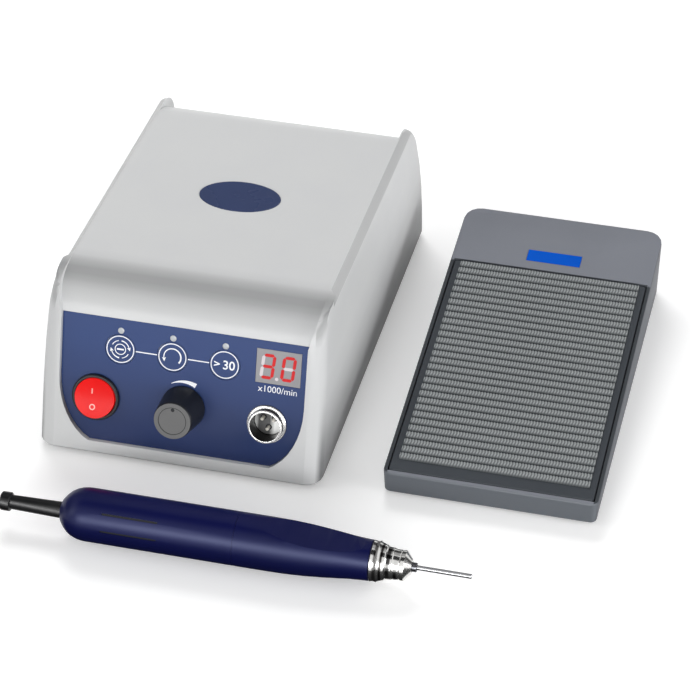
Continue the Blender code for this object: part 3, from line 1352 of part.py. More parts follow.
def hinge_line_height():
    return (hinge_point().translation - pedal_frame().translation).z


def hinge_line_y():
    return (hinge_point().translation - pedal_frame().translation).y


def floor_height():
    return PEDAL_FOOT_HEIGHT + PEDAL_FLOOR


def head_line():
    return PEDAL_HALF_LENGTH - PEDAL_HEAD_LENGTH


def add_pedal_base():
    edge = PEDAL_EDGE_ROUND
    rings = [flat_ring(PEDAL_DRAFT + edge, PEDAL_FOOT_HEIGHT)]
    rings += [flat_ring(PEDAL_DRAFT, PEDAL_FOOT_HEIGHT + edge)]
    rings += [pedal_ring(0, edge), pedal_ring(edge * EDGE_SHARE, edge * EDGE_SHARE), pedal_ring(edge, 0)]
    base = make("pedal_base", loft(rings), "pedal_grey", pedal_frame())
    inside = PEDAL_HALF_WIDTH - PEDAL_RIM
    front = -PEDAL_HALF_LENGTH + PEDAL_RIM
    well = block(inside, (head_line() - front) / 2, floor_height(), PEDAL_REAR_HEIGHT + OVERRUN)
    carve(base, moved(well, 0, (head_line() + front) / 2), pedal_frame())
    inner = PEDAL_HALF_WIDTH - PEDAL_WALL
    back = PEDAL_HALF_LENGTH - PEDAL_WALL
    near = head_line() - PEDAL_WALL
    corners = ((inner, back), (-inner, back), (-inner, near), (inner, near))
    low = [Vector((x, y, floor_height())) for x, y in corners]
    high = [Vector((x, y, pedal_top(y) - PEDAL_WALL)) for x, y in corners]
    carve(base, loft([low, high]), pedal_frame())
    axis = hinge_line_height()
    for x in BRACKET_XS:
        ear = block(BRACKET_HALF_WIDTH, HINGE_KNUCKLE_RADIUS, PEDAL_FOOT_HEIGHT + PEDAL_FLOOR / 2,
                    axis + HINGE_PIN_RADIUS + BRACKET_CROWN)
        join(base, moved(ear, x, hinge_line_y()), pedal_frame())
    across = Matrix.Rotation(math.pi / 2, 4, "Y")
    reach = PIN_HALF_LENGTH + GAP
    pin_way = disc(HINGE_PIN_RADIUS + SEAT, -reach, reach, COARSE_STEPS)
    carve(base, pin_way, hinge_frame() @ across)
    for side in (-1, 1):
        spot = pedal_frame() @ shift(side * SPRING_X, SPRING_Y, 0)
        guide = disc(SPRING_RADIUS - SPRING_WIRE_RADIUS - GAP, PEDAL_FOOT_HEIGHT + PEDAL_FLOOR / 2,
                     floor_height() + SPRING_SEAT_HEIGHT, COARSE_STEPS)
        join(base, guide, spot)
    plate = block(PEDAL_BADGE_HALF_WIDTH + SEAT, PEDAL_BADGE_HALF_LENGTH + SEAT, -PEDAL_BADGE_DEPTH, OVERRUN)
    carve(base, plate, pedal_badge_frame())
    carve(base, disc(GLAND_BARREL_RADIUS + SEAT, -OVERRUN, OVERRUN, COARSE_STEPS), gland_frame())
    soften(base, 30)


def hinge_frame():
    return pedal_frame() @ shift(0, hinge_line_y(), hinge_line_height())


def pedal_badge_frame():
    slope = treadle_frame().to_3x3().to_4x4()
    return pedal_frame() @ shift(0, PEDAL_BADGE_Y, pedal_top(PEDAL_BADGE_Y)) @ slope


def gland_frame():
    turn = Matrix.Rotation(-math.pi / 2, 4, "X")
    return pedal_frame() @ shift(0, PEDAL_HALF_LENGTH, GLAND_HEIGHT) @ turn


def treadle_sizes():
    slope = math.atan2(PEDAL_REAR_HEIGHT - PEDAL_FRONT_HEIGHT, PEDAL_HALF_LENGTH * 2)
    full = (PEDAL_HALF_LENGTH * 2 - PEDAL_HEAD_LENGTH) / math.cos(slope)
    front = PEDAL_RIM + TREADLE_SIDE_GAP
    return PEDAL_HALF_WIDTH - PEDAL_RIM - TREADLE_SIDE_GAP, front, full - TREADLE_HEAD_GAP


def pad_sizes():
    half, front, rear = treadle_sizes()
    return half - PAD_SIDE_MARGIN, front + PAD_FRONT_MARGIN, rear - PAD_HEAD_MARGIN


def add_treadle():
    half, front, rear = treadle_sizes()
    middle = (front + rear) / 2
    length = (rear - front) / 2
    edge = TREADLE_EDGE
    rings = []
    for inset, height in ((0, -TREADLE_THICKNESS), (0, -edge), (edge, 0)):
        outline = rounded(half - inset, length - inset, TREADLE_CORNER)
        rings.append([Vector((x, y + middle, height)) for x, y in outline])
    turn = hinge_frame().inverted() @ treadle_frame()
    shape = loft(rings)
    shape.transform(turn)
    treadle = make("treadle", shape, "treadle_grey", hinge_frame())
    pad_half, pad_front, pad_rear = pad_sizes()
    pocket = block(pad_half + SEAT, (pad_rear - pad_front) / 2 + SEAT, -PAD_SEAT_DEPTH, OVERRUN)
    carve(treadle, moved(pocket, 0, (pad_front + pad_rear) / 2), treadle_frame())
    across = Matrix.Rotation(math.pi / 2, 4, "Y")
    for side in (-1, 1):
        spot = hinge_frame() @ shift(side * HINGE_KNUCKLE_X, 0, 0) @ across
        knuckle = disc(HINGE_KNUCKLE_RADIUS, -HINGE_KNUCKLE_LENGTH / 2, HINGE_KNUCKLE_LENGTH / 2, FINE_STEPS)
        join(treadle, knuckle, spot)
        cup_bottom = spring_top() + SEAT
        cup = disc(SPRING_RADIUS + SPRING_WIRE_RADIUS * 2, cup_bottom, pedal_top(SPRING_Y) - PAD_SEAT_DEPTH * 2,
                   COARSE_STEPS)
        join(treadle, cup, pedal_frame() @ shift(side * SPRING_X, SPRING_Y, 0))
    way = disc(HINGE_PIN_RADIUS + GAP, -OVERRUN * 4, OVERRUN * 4, COARSE_STEPS)
    carve(treadle, way, hinge_frame() @ across)
    soften(treadle, 30)

    pin = disc(HINGE_PIN_RADIUS, -PIN_HALF_LENGTH, PIN_HALF_LENGTH, COARSE_STEPS)
    soften(make("hinge_pin", pin, "steel", hinge_frame() @ across))


def spring_top():
    return pedal_top(SPRING_Y) - TREADLE_THICKNESS - SPRING_HEADROOM


def add_pad():
    half, front, rear = pad_sizes()
    low = -PAD_SEAT_DEPTH + SEAT
    sheet = low + PAD_SHEET
    pitch = (rear - front) / PAD_RIB_COUNT
    foot = pitch * PAD_RIB_FOOT_SHARE / 2
    crown = pitch * PAD_RIB_TOP_SHARE / 2
    profile = [(front, low), (front, sheet)]
    for i in range(PAD_RIB_COUNT):
        y = front + pitch * (i + PAD_MIDDLE_SHARE)
        profile += [(y - foot, sheet), (y - crown, sheet + PAD_RIB_HEIGHT)]
        profile += [(y + crown, sheet + PAD_RIB_HEIGHT), (y + foot, sheet)]
    profile += [(rear, sheet), (rear, low)]
    shape = loft([[Vector((x, y, z)) for y, z in profile] for x in (-half, half)])
    make("tread_pad", shape, "pad_rubber", treadle_frame())


def spring_path():
    # A helix whose two ends run straight on for one wire diameter
    bottom = floor_height() + SPRING_WIRE_RADIUS + SEAT
    top = spring_top() - SPRING_WIRE_RADIUS - SEAT
    count = SPRING_TURNS * SPRING_STEPS
    points = []
    for i in range(count + 1):
        turn = math.tau * i / SPRING_STEPS
        height = bottom + (top - bottom) * i / count
        points.append(Vector((SPRING_RADIUS * math.cos(turn), SPRING_RADIUS * math.sin(turn), height)))
    straight = SPRING_WIRE_RADIUS * 2
    first = points[0] + Vector((0, -straight, 0))
    last = points[-1] + Vector((0, straight, 0))
    return [first] + points + [last]


def least_gap(points):
    closest = None
    for i, point in enumerate(points):
        for other in points[i + SPRING_STEPS // 2:]:
            distance = (point - other).length
            closest = distance if closest is None else min(closest, distance)
    return closest - SPRING_WIRE_RADIUS * 2


def wire_rings(points):
    rings = []
    for i, point in enumerate(points):
        ahead = points[min(i + 1, len(points) - 1)] - points[max(i - 1, 0)]
        along = ahead.normalized()
        side = Vector((0, 0, 1)).cross(along).normalized()
        up = along.cross(side)
        ring = []
        for j in range(WIRE_SIDES):
            turn = math.tau * j / WIRE_SIDES
            ring.append(point + (side * math.cos(turn) + up * math.sin(turn)) * SPRING_WIRE_RADIUS)
        rings.append(ring)
    return rings


def add_springs():
    points = spring_path()
    for side, name in ((-1, "return_spring_left"), (1, "return_spring_right")):
        print(name, "least gap to itself, mm:", round(least_gap(points) / MILLIMETRE, 2))
        spot = pedal_frame() @ shift(side * SPRING_X, SPRING_Y, 0)
        soften(make(name, loft(wire_rings(points)), "steel", spot), 60)


def add_pedal_fittings():
    floor = floor_height() + SEAT
    place = pedal_frame() @ shift(0, SWITCH_Y, floor)
    case = block(SWITCH_WIDTH / 2, SWITCH_LENGTH / 2, 0, SWITCH_HEIGHT)
    switch = make("pedal_switch", case, "switch_black", place)
    plunger_top = SWITCH_HEIGHT + SWITCH_PLUNGER_REACH
    join(switch, disc(SWITCH_PLUNGER_RADIUS, SWITCH_HEIGHT / 2, plunger_top, COARSE_STEPS), place)
    soften(switch)

    rings = []
    bottom = -PEDAL_BADGE_DEPTH + SEAT
    top = PEDAL_BADGE_THICKNESS - PEDAL_BADGE_DEPTH
    bevel = top / 2
    for inset, height in ((0, bottom), (0, top - bevel), (bevel, top)):
        outline = rounded(PEDAL_BADGE_HALF_WIDTH - inset, PEDAL_BADGE_HALF_LENGTH - inset, PEDAL_BADGE_CORNER)
        rings.append([Vector((x, y, height)) for x, y in outline])
    make("pedal_badge", loft(rings), "badge_blue", pedal_badge_frame())

    back = -PEDAL_WALL - GLAND_REACH
    profile = [(GLAND_BORE_RADIUS, back), (GLAND_BARREL_RADIUS, back)]
    profile += [(GLAND_BARREL_RADIUS, SEAT), (GLAND_RADIUS, SEAT)]
    profile += [(GLAND_RADIUS, GLAND_REACH - CHAMFER_SMALL)]
    profile += [(GLAND_RADIUS - CHAMFER_SMALL, GLAND_REACH), (GLAND_BORE_RADIUS, GLAND_REACH)]
    soften(make("cord_gland", lathe(profile, COARSE_STEPS), "boot_black", gland_frame()))

    for side, left_right in ((-1, "left"), (1, "right")):
        for end, front_rear in ((-1, "front"), (1, "rear")):
            x = side * (PEDAL_HALF_WIDTH - PEDAL_FOOT_INSET)
            y = end * (PEDAL_HALF_LENGTH - PEDAL_FOOT_INSET)
            pad = disc(PEDAL_FOOT_RADIUS, 0, PEDAL_FOOT_HEIGHT - SEAT / 2, COARSE_STEPS)
            name = f"pedal_foot_{front_rear}_{left_right}"
            foot = make(name, pad, "foot_rubber", pedal_frame() @ shift(x, y, 0))
            soften(foot)


clear_scene()
add_housing()
add_front_panel()
add_display()
add_display_board()
add_keys()
add_power_switch()
add_speed_control()
add_handpiece_socket()
add_badge()
add_bottom()
add_main_board()
add_transformer()
add_rear_fittings()
add_motor_sleeve()
add_cord_boot()
add_motor()
add_nose()
add_grip()
add_collet()
add_pedal_base()
add_treadle()
add_pad()
add_springs()
add_pedal_fittings()
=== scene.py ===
import math

import bmesh
import bpy
from mathutils import Matrix, Vector
from mathutils.bvhtree import BVHTree


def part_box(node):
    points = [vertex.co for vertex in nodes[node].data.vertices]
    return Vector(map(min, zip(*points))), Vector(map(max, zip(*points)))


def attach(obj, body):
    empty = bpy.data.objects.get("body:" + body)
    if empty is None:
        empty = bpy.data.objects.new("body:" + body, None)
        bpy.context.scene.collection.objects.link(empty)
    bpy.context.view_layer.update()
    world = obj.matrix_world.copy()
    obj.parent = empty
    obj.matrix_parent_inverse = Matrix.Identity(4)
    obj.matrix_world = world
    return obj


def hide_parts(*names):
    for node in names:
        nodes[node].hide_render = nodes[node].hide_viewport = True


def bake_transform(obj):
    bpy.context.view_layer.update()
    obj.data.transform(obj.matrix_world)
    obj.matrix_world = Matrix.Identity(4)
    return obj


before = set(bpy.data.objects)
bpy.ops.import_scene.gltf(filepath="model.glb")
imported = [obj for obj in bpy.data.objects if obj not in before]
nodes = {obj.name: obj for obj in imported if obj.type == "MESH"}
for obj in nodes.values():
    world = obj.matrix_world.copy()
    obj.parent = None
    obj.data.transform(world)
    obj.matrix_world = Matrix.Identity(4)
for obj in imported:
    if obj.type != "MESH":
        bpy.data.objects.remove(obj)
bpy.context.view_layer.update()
fullTurn = math.tau
print("frame loaded:", len(nodes), "nodes")


# the tilted front panel's own frame, read from the display pane: x across, y up the slope, z out of it
panelPlace = {"tilt": math.radians(16.9), "paneX": 0.0462, "paneDrop": 0.0129, "paneHalf": 0.00045}
paneLow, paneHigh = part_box("display_window")
paneMiddle = (paneLow + paneHigh) / 2
leanSin, leanCos = math.sin(panelPlace["tilt"]), math.cos(panelPlace["tilt"])
panelAcross = Vector((1, 0, 0))
panelUp = Vector((0, leanSin, leanCos))
panelOut = Vector((0, -leanCos, leanSin))
panelOrigin = (paneMiddle + panelOut * panelPlace["paneHalf"] + panelUp * panelPlace["paneDrop"]
               - panelAcross * panelPlace["paneX"])


def placed(origin, across, upward, outward):
    return Matrix.Translation(origin) @ Matrix((across, upward, outward)).transposed().to_4x4()


def onPanel(x, drop, lift=0.0):
    origin = panelOrigin + panelAcross * x - panelUp * drop + panelOut * lift
    return placed(origin, panelAcross, panelUp, panelOut)


# sets a socket to a plain value, or links it where the value is another node's socket
def feed(tree, socket, value):
    if isinstance(value, bpy.types.NodeSocket):
        tree.links.new(value, socket)
    else:
        socket.default_value = value


def addNode(tree, kind, **settings):
    node = tree.nodes.new(kind)
    for key, value in settings.items():
        if key in node.inputs:
            feed(tree, node.inputs[key], value)
        else:
            setattr(node, key, value)
    return node


def reckon(tree, operation, *values):
    node = addNode(tree, "ShaderNodeMath", operation=operation)
    for socket, value in zip(node.inputs, values):
        feed(tree, socket, value)
    return node.outputs[0]


def rgb(code):
    parts = [int(code[i:i + 2], 16) / 255 for i in (0, 2, 4)]
    return tuple(((c + 0.055) / 1.055) ** 2.4 if c > 0.04045 else c / 12.92 for c in parts) + (1.0,)


def blendColours(tree, factor, first, second):
    mix = addNode(tree, "ShaderNodeMix", data_type="RGBA")
    for index, value in ((0, factor), (6, first), (7, second)):
        feed(tree, mix.inputs[index], value)
    return mix.outputs[2]


def blendNumbers(tree, factor, first, second):
    mix = addNode(tree, "ShaderNodeMix", data_type="FLOAT")
    for index, value in ((0, factor), (2, first), (3, second)):
        feed(tree, mix.inputs[index], value)
    return mix.outputs[0]


def spread(tree, value, low, high, fromLow=0.0, fromHigh=1.0):
    ramp = addNode(tree, "ShaderNodeMapRange", Value=value)
    for name, number in (("From Min", fromLow), ("From Max", fromHigh), ("To Min", low), ("To Max", high)):
        ramp.inputs[name].default_value = number
    return ramp.outputs["Result"]


def grey(tone):
    return (tone, tone, tone, 1.0)


# how much of a second tone shows: a product of steps, each along an axis of the object's place or of its
# surface's facing
def layerAmount(tree, place, steps):
    total = None
    for source, axis, stops in steps:
        if isinstance(axis, Vector):
            along = addNode(tree, "ShaderNodeVectorMath", operation="DOT_PRODUCT",
                            Vector=place.outputs[source])
            along.inputs[1].default_value = axis
            value = along.outputs["Value"]
        else:
            parts = addNode(tree, "ShaderNodeSeparateXYZ", Vector=place.outputs[source])
            value = parts.outputs[axis[0]]
            if axis.endswith("size"):
                value = reckon(tree, "ABSOLUTE", value)
        low, high = stops[0][0], stops[-1][0]
        ramp = addNode(tree, "ShaderNodeValToRGB", Fac=spread(tree, value, 0, 1, low, high))
        marks = ramp.color_ramp.elements
        marks[0].color, marks[1].color = grey(stops[0][1]), grey(stops[-1][1])
        for at, amount in stops[1:-1]:
            marks.new((at - low) / (high - low)).color = grey(amount)
        shown = ramp.outputs["Color"]
        total = reckon(tree, "MULTIPLY", total, shown) if total else shown
    return total


# what a finish has where its own look says nothing else
commonLook = {
    "stretch": (1, 1, 1), "cloudScale": 24.0, "cloudDetail": 4.0, "cloudRough": 0.55, "cloudLow": 0.3,
    "cloudHigh": 0.7, "grainScale": 2600.0, "grainDetail": 3.0, "grainRough": 0.6, "grainLow": 0.35,
    "grainHigh": 0.75, "speckle": 0.05, "speckleColour": "202226", "layers": (), "paintedLightName": None,
    "roughSweep": 0.06, "metal": 0.0, "specular": 0.5, "tint": "ffffff", "coat": 0.0, "coatRough": 0.1,
    "glow": None, "bump": 0.12, "bumpDepth": 0.00003,
}


# one finish: a colour that drifts a little, a roughness that drifts, and a fine grain as bump
def finish(name, ownLook):
    look = {**commonLook, **ownLook}
    material = bpy.data.materials.new(name)
    material.use_nodes = True
    tree = material.node_tree
    shader = tree.nodes["Principled BSDF"]
    place = addNode(tree, "ShaderNodeTexCoord")
    stretch = addNode(tree, "ShaderNodeMapping", Vector=place.outputs["Object"], Scale=look["stretch"])
    cloud, grain = (addNode(tree, "ShaderNodeTexNoise", Vector=stretch.outputs["Vector"],
                            Scale=look[kind + "Scale"], Detail=look[kind + "Detail"],
                            Roughness=look[kind + "Rough"]) for kind in ("cloud", "grain"))
    drift = spread(tree, cloud.outputs["Fac"], 0, 1, look["cloudLow"], look["cloudHigh"])
    tone = blendColours(tree, drift, rgb(look["colour"]), rgb(look["drift"]))
    specks = spread(tree, grain.outputs["Fac"], 0, look["speckle"], look["grainLow"], look["grainHigh"])
    fine = blendColours(tree, specks, tone, rgb(look["speckleColour"]))
    for layer in look["layers"]:
        fine = blendColours(tree, layerAmount(tree, place, layer["where"]), fine, rgb(layer["colour"]))
    if look["paintedLightName"]:
        height = addNode(tree, "ShaderNodeAttribute", attribute_name=look["paintedLightName"])
        fine = blendColours(tree, height.outputs["Fac"], fine, rgb(look["paintedLightColour"]))
    least, most = look["rough"] - look["roughSweep"], look["rough"] + look["roughSweep"]
    rough = spread(tree, cloud.outputs["Fac"], least, most, look["cloudLow"], look["cloudHigh"])
    bump = addNode(tree, "ShaderNodeBump", Strength=look["bump"], Distance=look["bumpDepth"],
                   Height=grain.outputs["Fac"])
    values = {"Base Color": fine, "Roughness": rough, "Normal": bump.outputs["Normal"],
              "Metallic": look["metal"], "Specular IOR Level": look["specular"],
              "Specular Tint": rgb(look["tint"]), "Coat Weight": look["coat"],
              "Coat Roughness": look["coatRough"]}
    if look["glow"]:
        values.update({"Emission Color": rgb(look["glow"]), "Emission Strength": look["glowStrength"]})
    for socket, value in values.items():
        feed(tree, shader.inputs[socket], value)
    return material


treadleLow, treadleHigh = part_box("treadle")
panelLow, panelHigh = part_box("front_panel")
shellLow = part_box("housing_shell")[0]
socketMiddle = sum(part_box("socket_insert"), Vector()) / 2
noseStart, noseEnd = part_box("front_grip")[1].x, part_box("nose_cap")[1].x
# the soft reach of each painted shade and reflection, and of the pedal frame's darker tone
shadeAndFrameReach = {"shoulder": 0.026, "panelTop": 0.012, "frameSide": 0.0004, "frameEnd": 0.001,
             "noseSoft": 0.0003}

# shades as (way from a start, amount): back over the shoulder, up each wall and across the socket
shoulderShade = ((0, 0), (0.0037, 0.12), (0.0079, 0.37), (0.0115, 0.5), (0.0156, 0.52), (0.0201, 0.34),
                 (0.025, 0.07), (0.031, 0))
wallShade = ((0, 0.78), (0.012, 0.75), (0.022, 0.56), (0.032, 0.3), (0.042, 0.1), (0.054, 0))
socketShade = ((-0.0062, 0.3), (-0.005, 0.97), (0.0004, 0.95), (0.0028, 0))


def stepsFrom(start, shade):
    return tuple((start + way, amount) for way, amount in shade)


# steps along the nose for bands of painted dark reflection, given as (from, to, amount), the first two as
# shares of its length
def noseReflectionBands(*bands):
    steps, soft = [], shadeAndFrameReach["noseSoft"]
    for low, high, amount in bands:
        low, high = (noseStart + share * (noseEnd - noseStart) for share in (low, high))
        steps += [(low - soft, 0), (low + soft, amount), (high - soft, amount), (high + soft, 0)]
    return tuple(steps)


looks = {
    "cover_white": {
        "colour": "d2d3d3", "drift": "cfd0d1", "rough": 0.42, "roughSweep": 0.03, "speckle": 0.03,
        "speckleColour": "9a9b9c", "grainScale": 1900.0, "bump": 0.1, "specular": 0.35,
        "layers": (
            # painted shade lies in the hollow of the shoulder, along each rail's chamfer, and low on each
            # wall, darkest at the floor
            {"colour": "3c3d3f", "where": (
                ("Object", "Y", stepsFrom(shellLow.y + shadeAndFrameReach["shoulder"], shoulderShade)),
                ("Normal", "Z", ((0.5, 0), (0.8, 1))))},
            {"colour": "3c3d3f", "where": (
                ("Normal", "X size", ((0.25, 0), (0.45, 0.33), (0.9, 0.33), (1.0, 0))),
                ("Normal", "Z", ((0.3, 0), (0.5, 1), (0.86, 1), (0.97, 0))))},
            {"colour": "3a3b3e", "where": (
                ("Object", "Z", wallShade),
                ("Normal", "X size", ((0.6, 0), (0.9, 1))))},
        )},
    "panel_blue": {
        "colour": "233d72", "drift": "20396e", "rough": 0.36, "speckle": 0.05, "grainScale": 3200.0,
        "bump": 0.05, "specular": 0.25,
        "layers": (
            # painted shade: the panel darkens towards its foot
            {"colour": "18264f", "where": (
                ("Object", "Z", ((panelLow.z, 0.9), (panelHigh.z - shadeAndFrameReach["panelTop"], 0))),)},
        )},
    "window_smoke": {"colour": "a09fa2", "drift": "98979a", "rough": 0.3, "speckle": 0.06, "specular": 0.3,
                     "coat": 0.2},
    "display_black": {"colour": "26282c", "drift": "1f2125", "rough": 0.5, "speckle": 0.06},
    "led_lens": {"colour": "c3c7cc", "drift": "b6babf", "rough": 0.25, "coat": 0.2, "speckle": 0.03},
    "switch_black": {"colour": "15171c", "drift": "101216", "rough": 0.38, "speckle": 0.1,
                     "speckleColour": "33363c", "specular": 0.3},
    # the red glows a little: painted light
    "rocker_red": {"colour": "dc0f10", "drift": "ce0c0e", "rough": 0.32, "speckle": 0.05,
                   "specular": 0.08, "speckleColour": "8c1512", "glow": "ff1c18", "glowStrength": 0.26},
    "knob_grey": {"colour": "16181f", "drift": "111319", "rough": 0.42, "speckle": 0.08,
                  "speckleColour": "3a3d48", "bump": 0.2, "specular": 0.25},
    "cap_grey": {"colour": "6b6b6b", "drift": "646464", "rough": 0.4, "speckle": 0.06, "bump": 0.15,
                 "specular": 0.25},
    "chrome": {"colour": "dedddb", "drift": "d2d1cf", "rough": 0.09, "roughSweep": 0.03, "metal": 1.0,
               "speckle": 0.02, "bump": 0.02},
    # the pins are painted near white: a painted highlight standing for their metal's gleam
    "brass_pin": {"colour": "f4f1e8", "drift": "e6e0cf", "rough": 0.3, "metal": 0.1, "speckle": 0.04},
    "steel": {"colour": "b4b6b9", "drift": "9fa1a5", "rough": 0.24, "metal": 1.0, "speckle": 0.06,
              "stretch": (0.15, 1.0, 1.0), "grainScale": 1200.0},
    "board_green": {"colour": "1d5a36", "drift": "174a2c", "rough": 0.4, "speckle": 0.12, "coat": 0.3},
    "core_steel": {"colour": "6f7378", "drift": "5c5f64", "rough": 0.45, "metal": 0.9, "speckle": 0.12,
                   "stretch": (0.1, 1.0, 0.1), "grainScale": 900.0, "bump": 0.3},
    "coil_copper": {"colour": "a8662c", "drift": "8f5322", "rough": 0.35, "metal": 0.6, "speckle": 0.12,
                    "stretch": (0.1, 0.1, 1.0), "grainScale": 1500.0, "bump": 0.4},
    "badge_navy": {"colour": "3a4568", "drift": "343f60", "rough": 0.3, "speckle": 0.05, "specular": 0.15},
    "foot_rubber": {"colour": "202226", "drift": "191b1e", "rough": 0.75, "speckle": 0.12,
                    "speckleColour": "4a4c50", "bump": 0.35, "specular": 0.2},
    "navy_body": {"colour": "070b40", "drift": "05093a", "rough": 0.35, "roughSweep": 0.03, "speckle": 0.04,
                  "speckleColour": "2c2f66", "grainScale": 3000.0, "bump": 0.06, "specular": 0.28,
                  "tint": "d6dfff"},
    "boot_black": {"colour": "0b0c0e", "drift": "08090b", "rough": 0.36, "speckle": 0.1, "bump": 0.15,
                   "specular": 0.4},
    "magnet_grey": {"colour": "3a3c40", "drift": "2f3134", "rough": 0.55, "metal": 0.4, "speckle": 0.12},
    "pedal_grey": {
        "colour": "7f828a", "drift": "7b7e86", "rough": 0.46, "roughSweep": 0.03, "speckle": 0.06,
        "speckleColour": "3c3f45", "grainScale": 2400.0, "bump": 0.25, "specular": 0.2,
        "layers": (
            # the frame is darker beside the treadle; its sides and, a little, its front are painted darker by
            # the way they face, as painted shade
            {"colour": "3c4044", "where": (
                ("Object", "X", ((treadleLow.x - shadeAndFrameReach["frameSide"], 1), (treadleLow.x, 0),
                                 (treadleHigh.x, 0), (treadleHigh.x + shadeAndFrameReach["frameSide"], 1))),
                ("Object", "Y", ((treadleHigh.y - shadeAndFrameReach["frameEnd"], 1), (treadleHigh.y, 0))),
                ("Normal", "Z", ((0.3, 0), (0.6, 1))))},
            {"colour": "4b4e54", "where": (("Normal", "X size", ((0.5, 0), (0.9, 0.85))),)},
            {"colour": "666b71", "where": (("Normal", "Y", ((-0.9, 0.9), (-0.3, 0))),)},
        )},
    "treadle_grey": {"colour": "41454a", "drift": "3d4146", "rough": 0.48, "speckle": 0.08,
                     "speckleColour": "565b61", "grainScale": 2400.0, "bump": 0.25, "specular": 0.15},
    # the rib crests are painted pale and the grooves dark: painted light and shade
    "pad_rubber": {"colour": "2c3135", "drift": "282d31", "rough": 0.62, "speckle": 0.1, "specular": 0.15,
                   "speckleColour": "4c5155", "grainScale": 1700.0, "bump": 0.3,
                   "paintedLightName": "ribPaintedLight", "paintedLightColour": "a4a8a9"},
    "badge_blue": {"colour": "0058cc", "drift": "0050be", "rough": 0.35, "speckle": 0.03, "specular": 0.04},
    "bottom_grey": {"colour": "b9babb", "drift": "b2b3b4", "rough": 0.5, "speckle": 0.06, "bump": 0.2},
    # the white print glows a little: painted light
    "printWhite": {"colour": "f6f7fa", "drift": "f0f1f5", "rough": 0.5, "speckle": 0.03, "glow": "e8ecf4",
                   "glowStrength": 0.1},
    "digitLit": {"colour": "c8141a", "drift": "ba1016", "rough": 0.4, "speckle": 0.02, "glow": "ff1414",
                 "glowStrength": 0.14, "specular": 0.2},
    "digitDim": {"colour": "e2dade", "drift": "d9d0d5", "rough": 0.5, "speckle": 0.03},
    # dark marks; in grooves, screw slots and round the pin feet they are painted shade
    "paintedShadeAndInk": {"colour": "1c1e22", "drift": "17191c", "rough": 0.5, "speckle": 0.05, "specular": 0.2},
    "rockerPrint": {"colour": "ffb9b0", "drift": "ffaca2", "rough": 0.4, "speckle": 0.02},
    "insertSilver": {
        "colour": "f2f3f1", "drift": "e4e5e3", "rough": 0.4, "metal": 0.1, "speckle": 0.05,
        "slot": "switch_black",
        "layers": (
            # painted shade and reflection: the insert's left side is painted near black
            {"colour": "0b0b0d", "where": (("Object", "X", stepsFrom(socketMiddle.x, socketShade)),)},
        )},
    "chromeBarrel": {
        "colour": "eeedeb", "drift": "e2e1df", "rough": 0.24, "roughSweep": 0.03, "metal": 0.75,
        "speckle": 0.02, "bump": 0.02, "slot": "chrome",
        "layers": (
            # painted dark reflection: faces of the barrel turned away from the panel's front and towards its
            # upper right are painted near black
            {"colour": "08080a", "where": (
                ("Normal", panelOut, ((-0.3, 1), (0.2, 0.98), (0.45, 0))),
                ("Normal", panelAcross + panelUp, ((-0.25, 0), (0.2, 1))))},
        )},
    "noseChrome": {
        "colour": "e4e3e1", "drift": "d8d7d5", "rough": 0.15, "roughSweep": 0.02, "metal": 1.0,
        "speckle": 0.02, "bump": 0.01, "slot": "chrome",
        "layers": (
            # painted dark reflections lie in the hollows between the rings; of the last two bands one is
            # darkest on the upper side, the other on the lower side
            {"colour": "1c1714", "where": (
                ("Object", "X", noseReflectionBands((0.1, 0.19, 0.75), (0.25, 0.31, 0.95))),)},
            {"colour": "0b0b0c", "where": (
                ("Object", "X", noseReflectionBands((0.4, 0.5, 0.92))), ("Normal", "Z", ((-0.7, 0.35), (0.1, 1))))},
            {"colour": "0b0b0c", "where": (
                ("Object", "X", noseReflectionBands((0.6, 0.68, 0.95))), ("Normal", "Z", ((-0.1, 1), (0.6, 0.1))))},
        )},
    "shankBright": {"colour": "c6c7ca", "drift": "b9babd", "rough": 0.16, "roughSweep": 0.02, "metal": 1.0,
                    "speckle": 0.03, "bump": 0.02, "slot": "steel"},
    "colletDark": {"colour": "6b6c70", "drift": "5c5d61", "rough": 0.26, "metal": 1.0, "speckle": 0.06,
                   "slot": "steel"},
}
finishes = {name: finish(name, look) for name, look in looks.items()}
print("finishes made:", len(finishes))


mergeGap = 0.000001
flatAngle = math.radians(0.4)
inkDepth = 0.00004
right, rear, upright = Vector((1, 0, 0)), Vector((0, 1, 0)), Vector((0, 0, 1))


def meshObject(name, shape, material):
    mesh = bpy.data.meshes.new(name)
    shape.to_mesh(mesh)
    shape.free()
    mesh.materials.append(material)
    piece = bpy.data.objects.new(name, mesh)
    bpy.context.scene.collection.objects.link(piece)
    return piece


# a finished piece, on its body if it has one; edges past the sharp angle are sharp, and rounded by the bevel
def finishPiece(name, shape, body, look, sharp=35, bevel=0.0):
    bmesh.ops.recalc_face_normals(shape, faces=shape.faces)
    # a closed piece that came out looking inwards is turned outwards
    if all(edge.is_manifold for edge in shape.edges) and shape.calc_volume(signed=True) < 0:
        bmesh.ops.reverse_faces(shape, faces=shape.faces)
    piece = meshObject(name, shape, finishes[look])
    for polygon in piece.data.polygons:
        polygon.use_smooth = True
    piece.data.set_sharp_from_angle(angle=math.radians(sharp))
    if bevel:
        rounding = piece.modifiers.new("edgeRounding", "BEVEL")
        rounding.width = bevel
        rounding.segments = 2
        rounding.limit_method = "ANGLE"
        rounding.angle_limit = math.radians(sharp)
        rounding.harden_normals = True
    if body:
        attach(piece, body)
    return piece


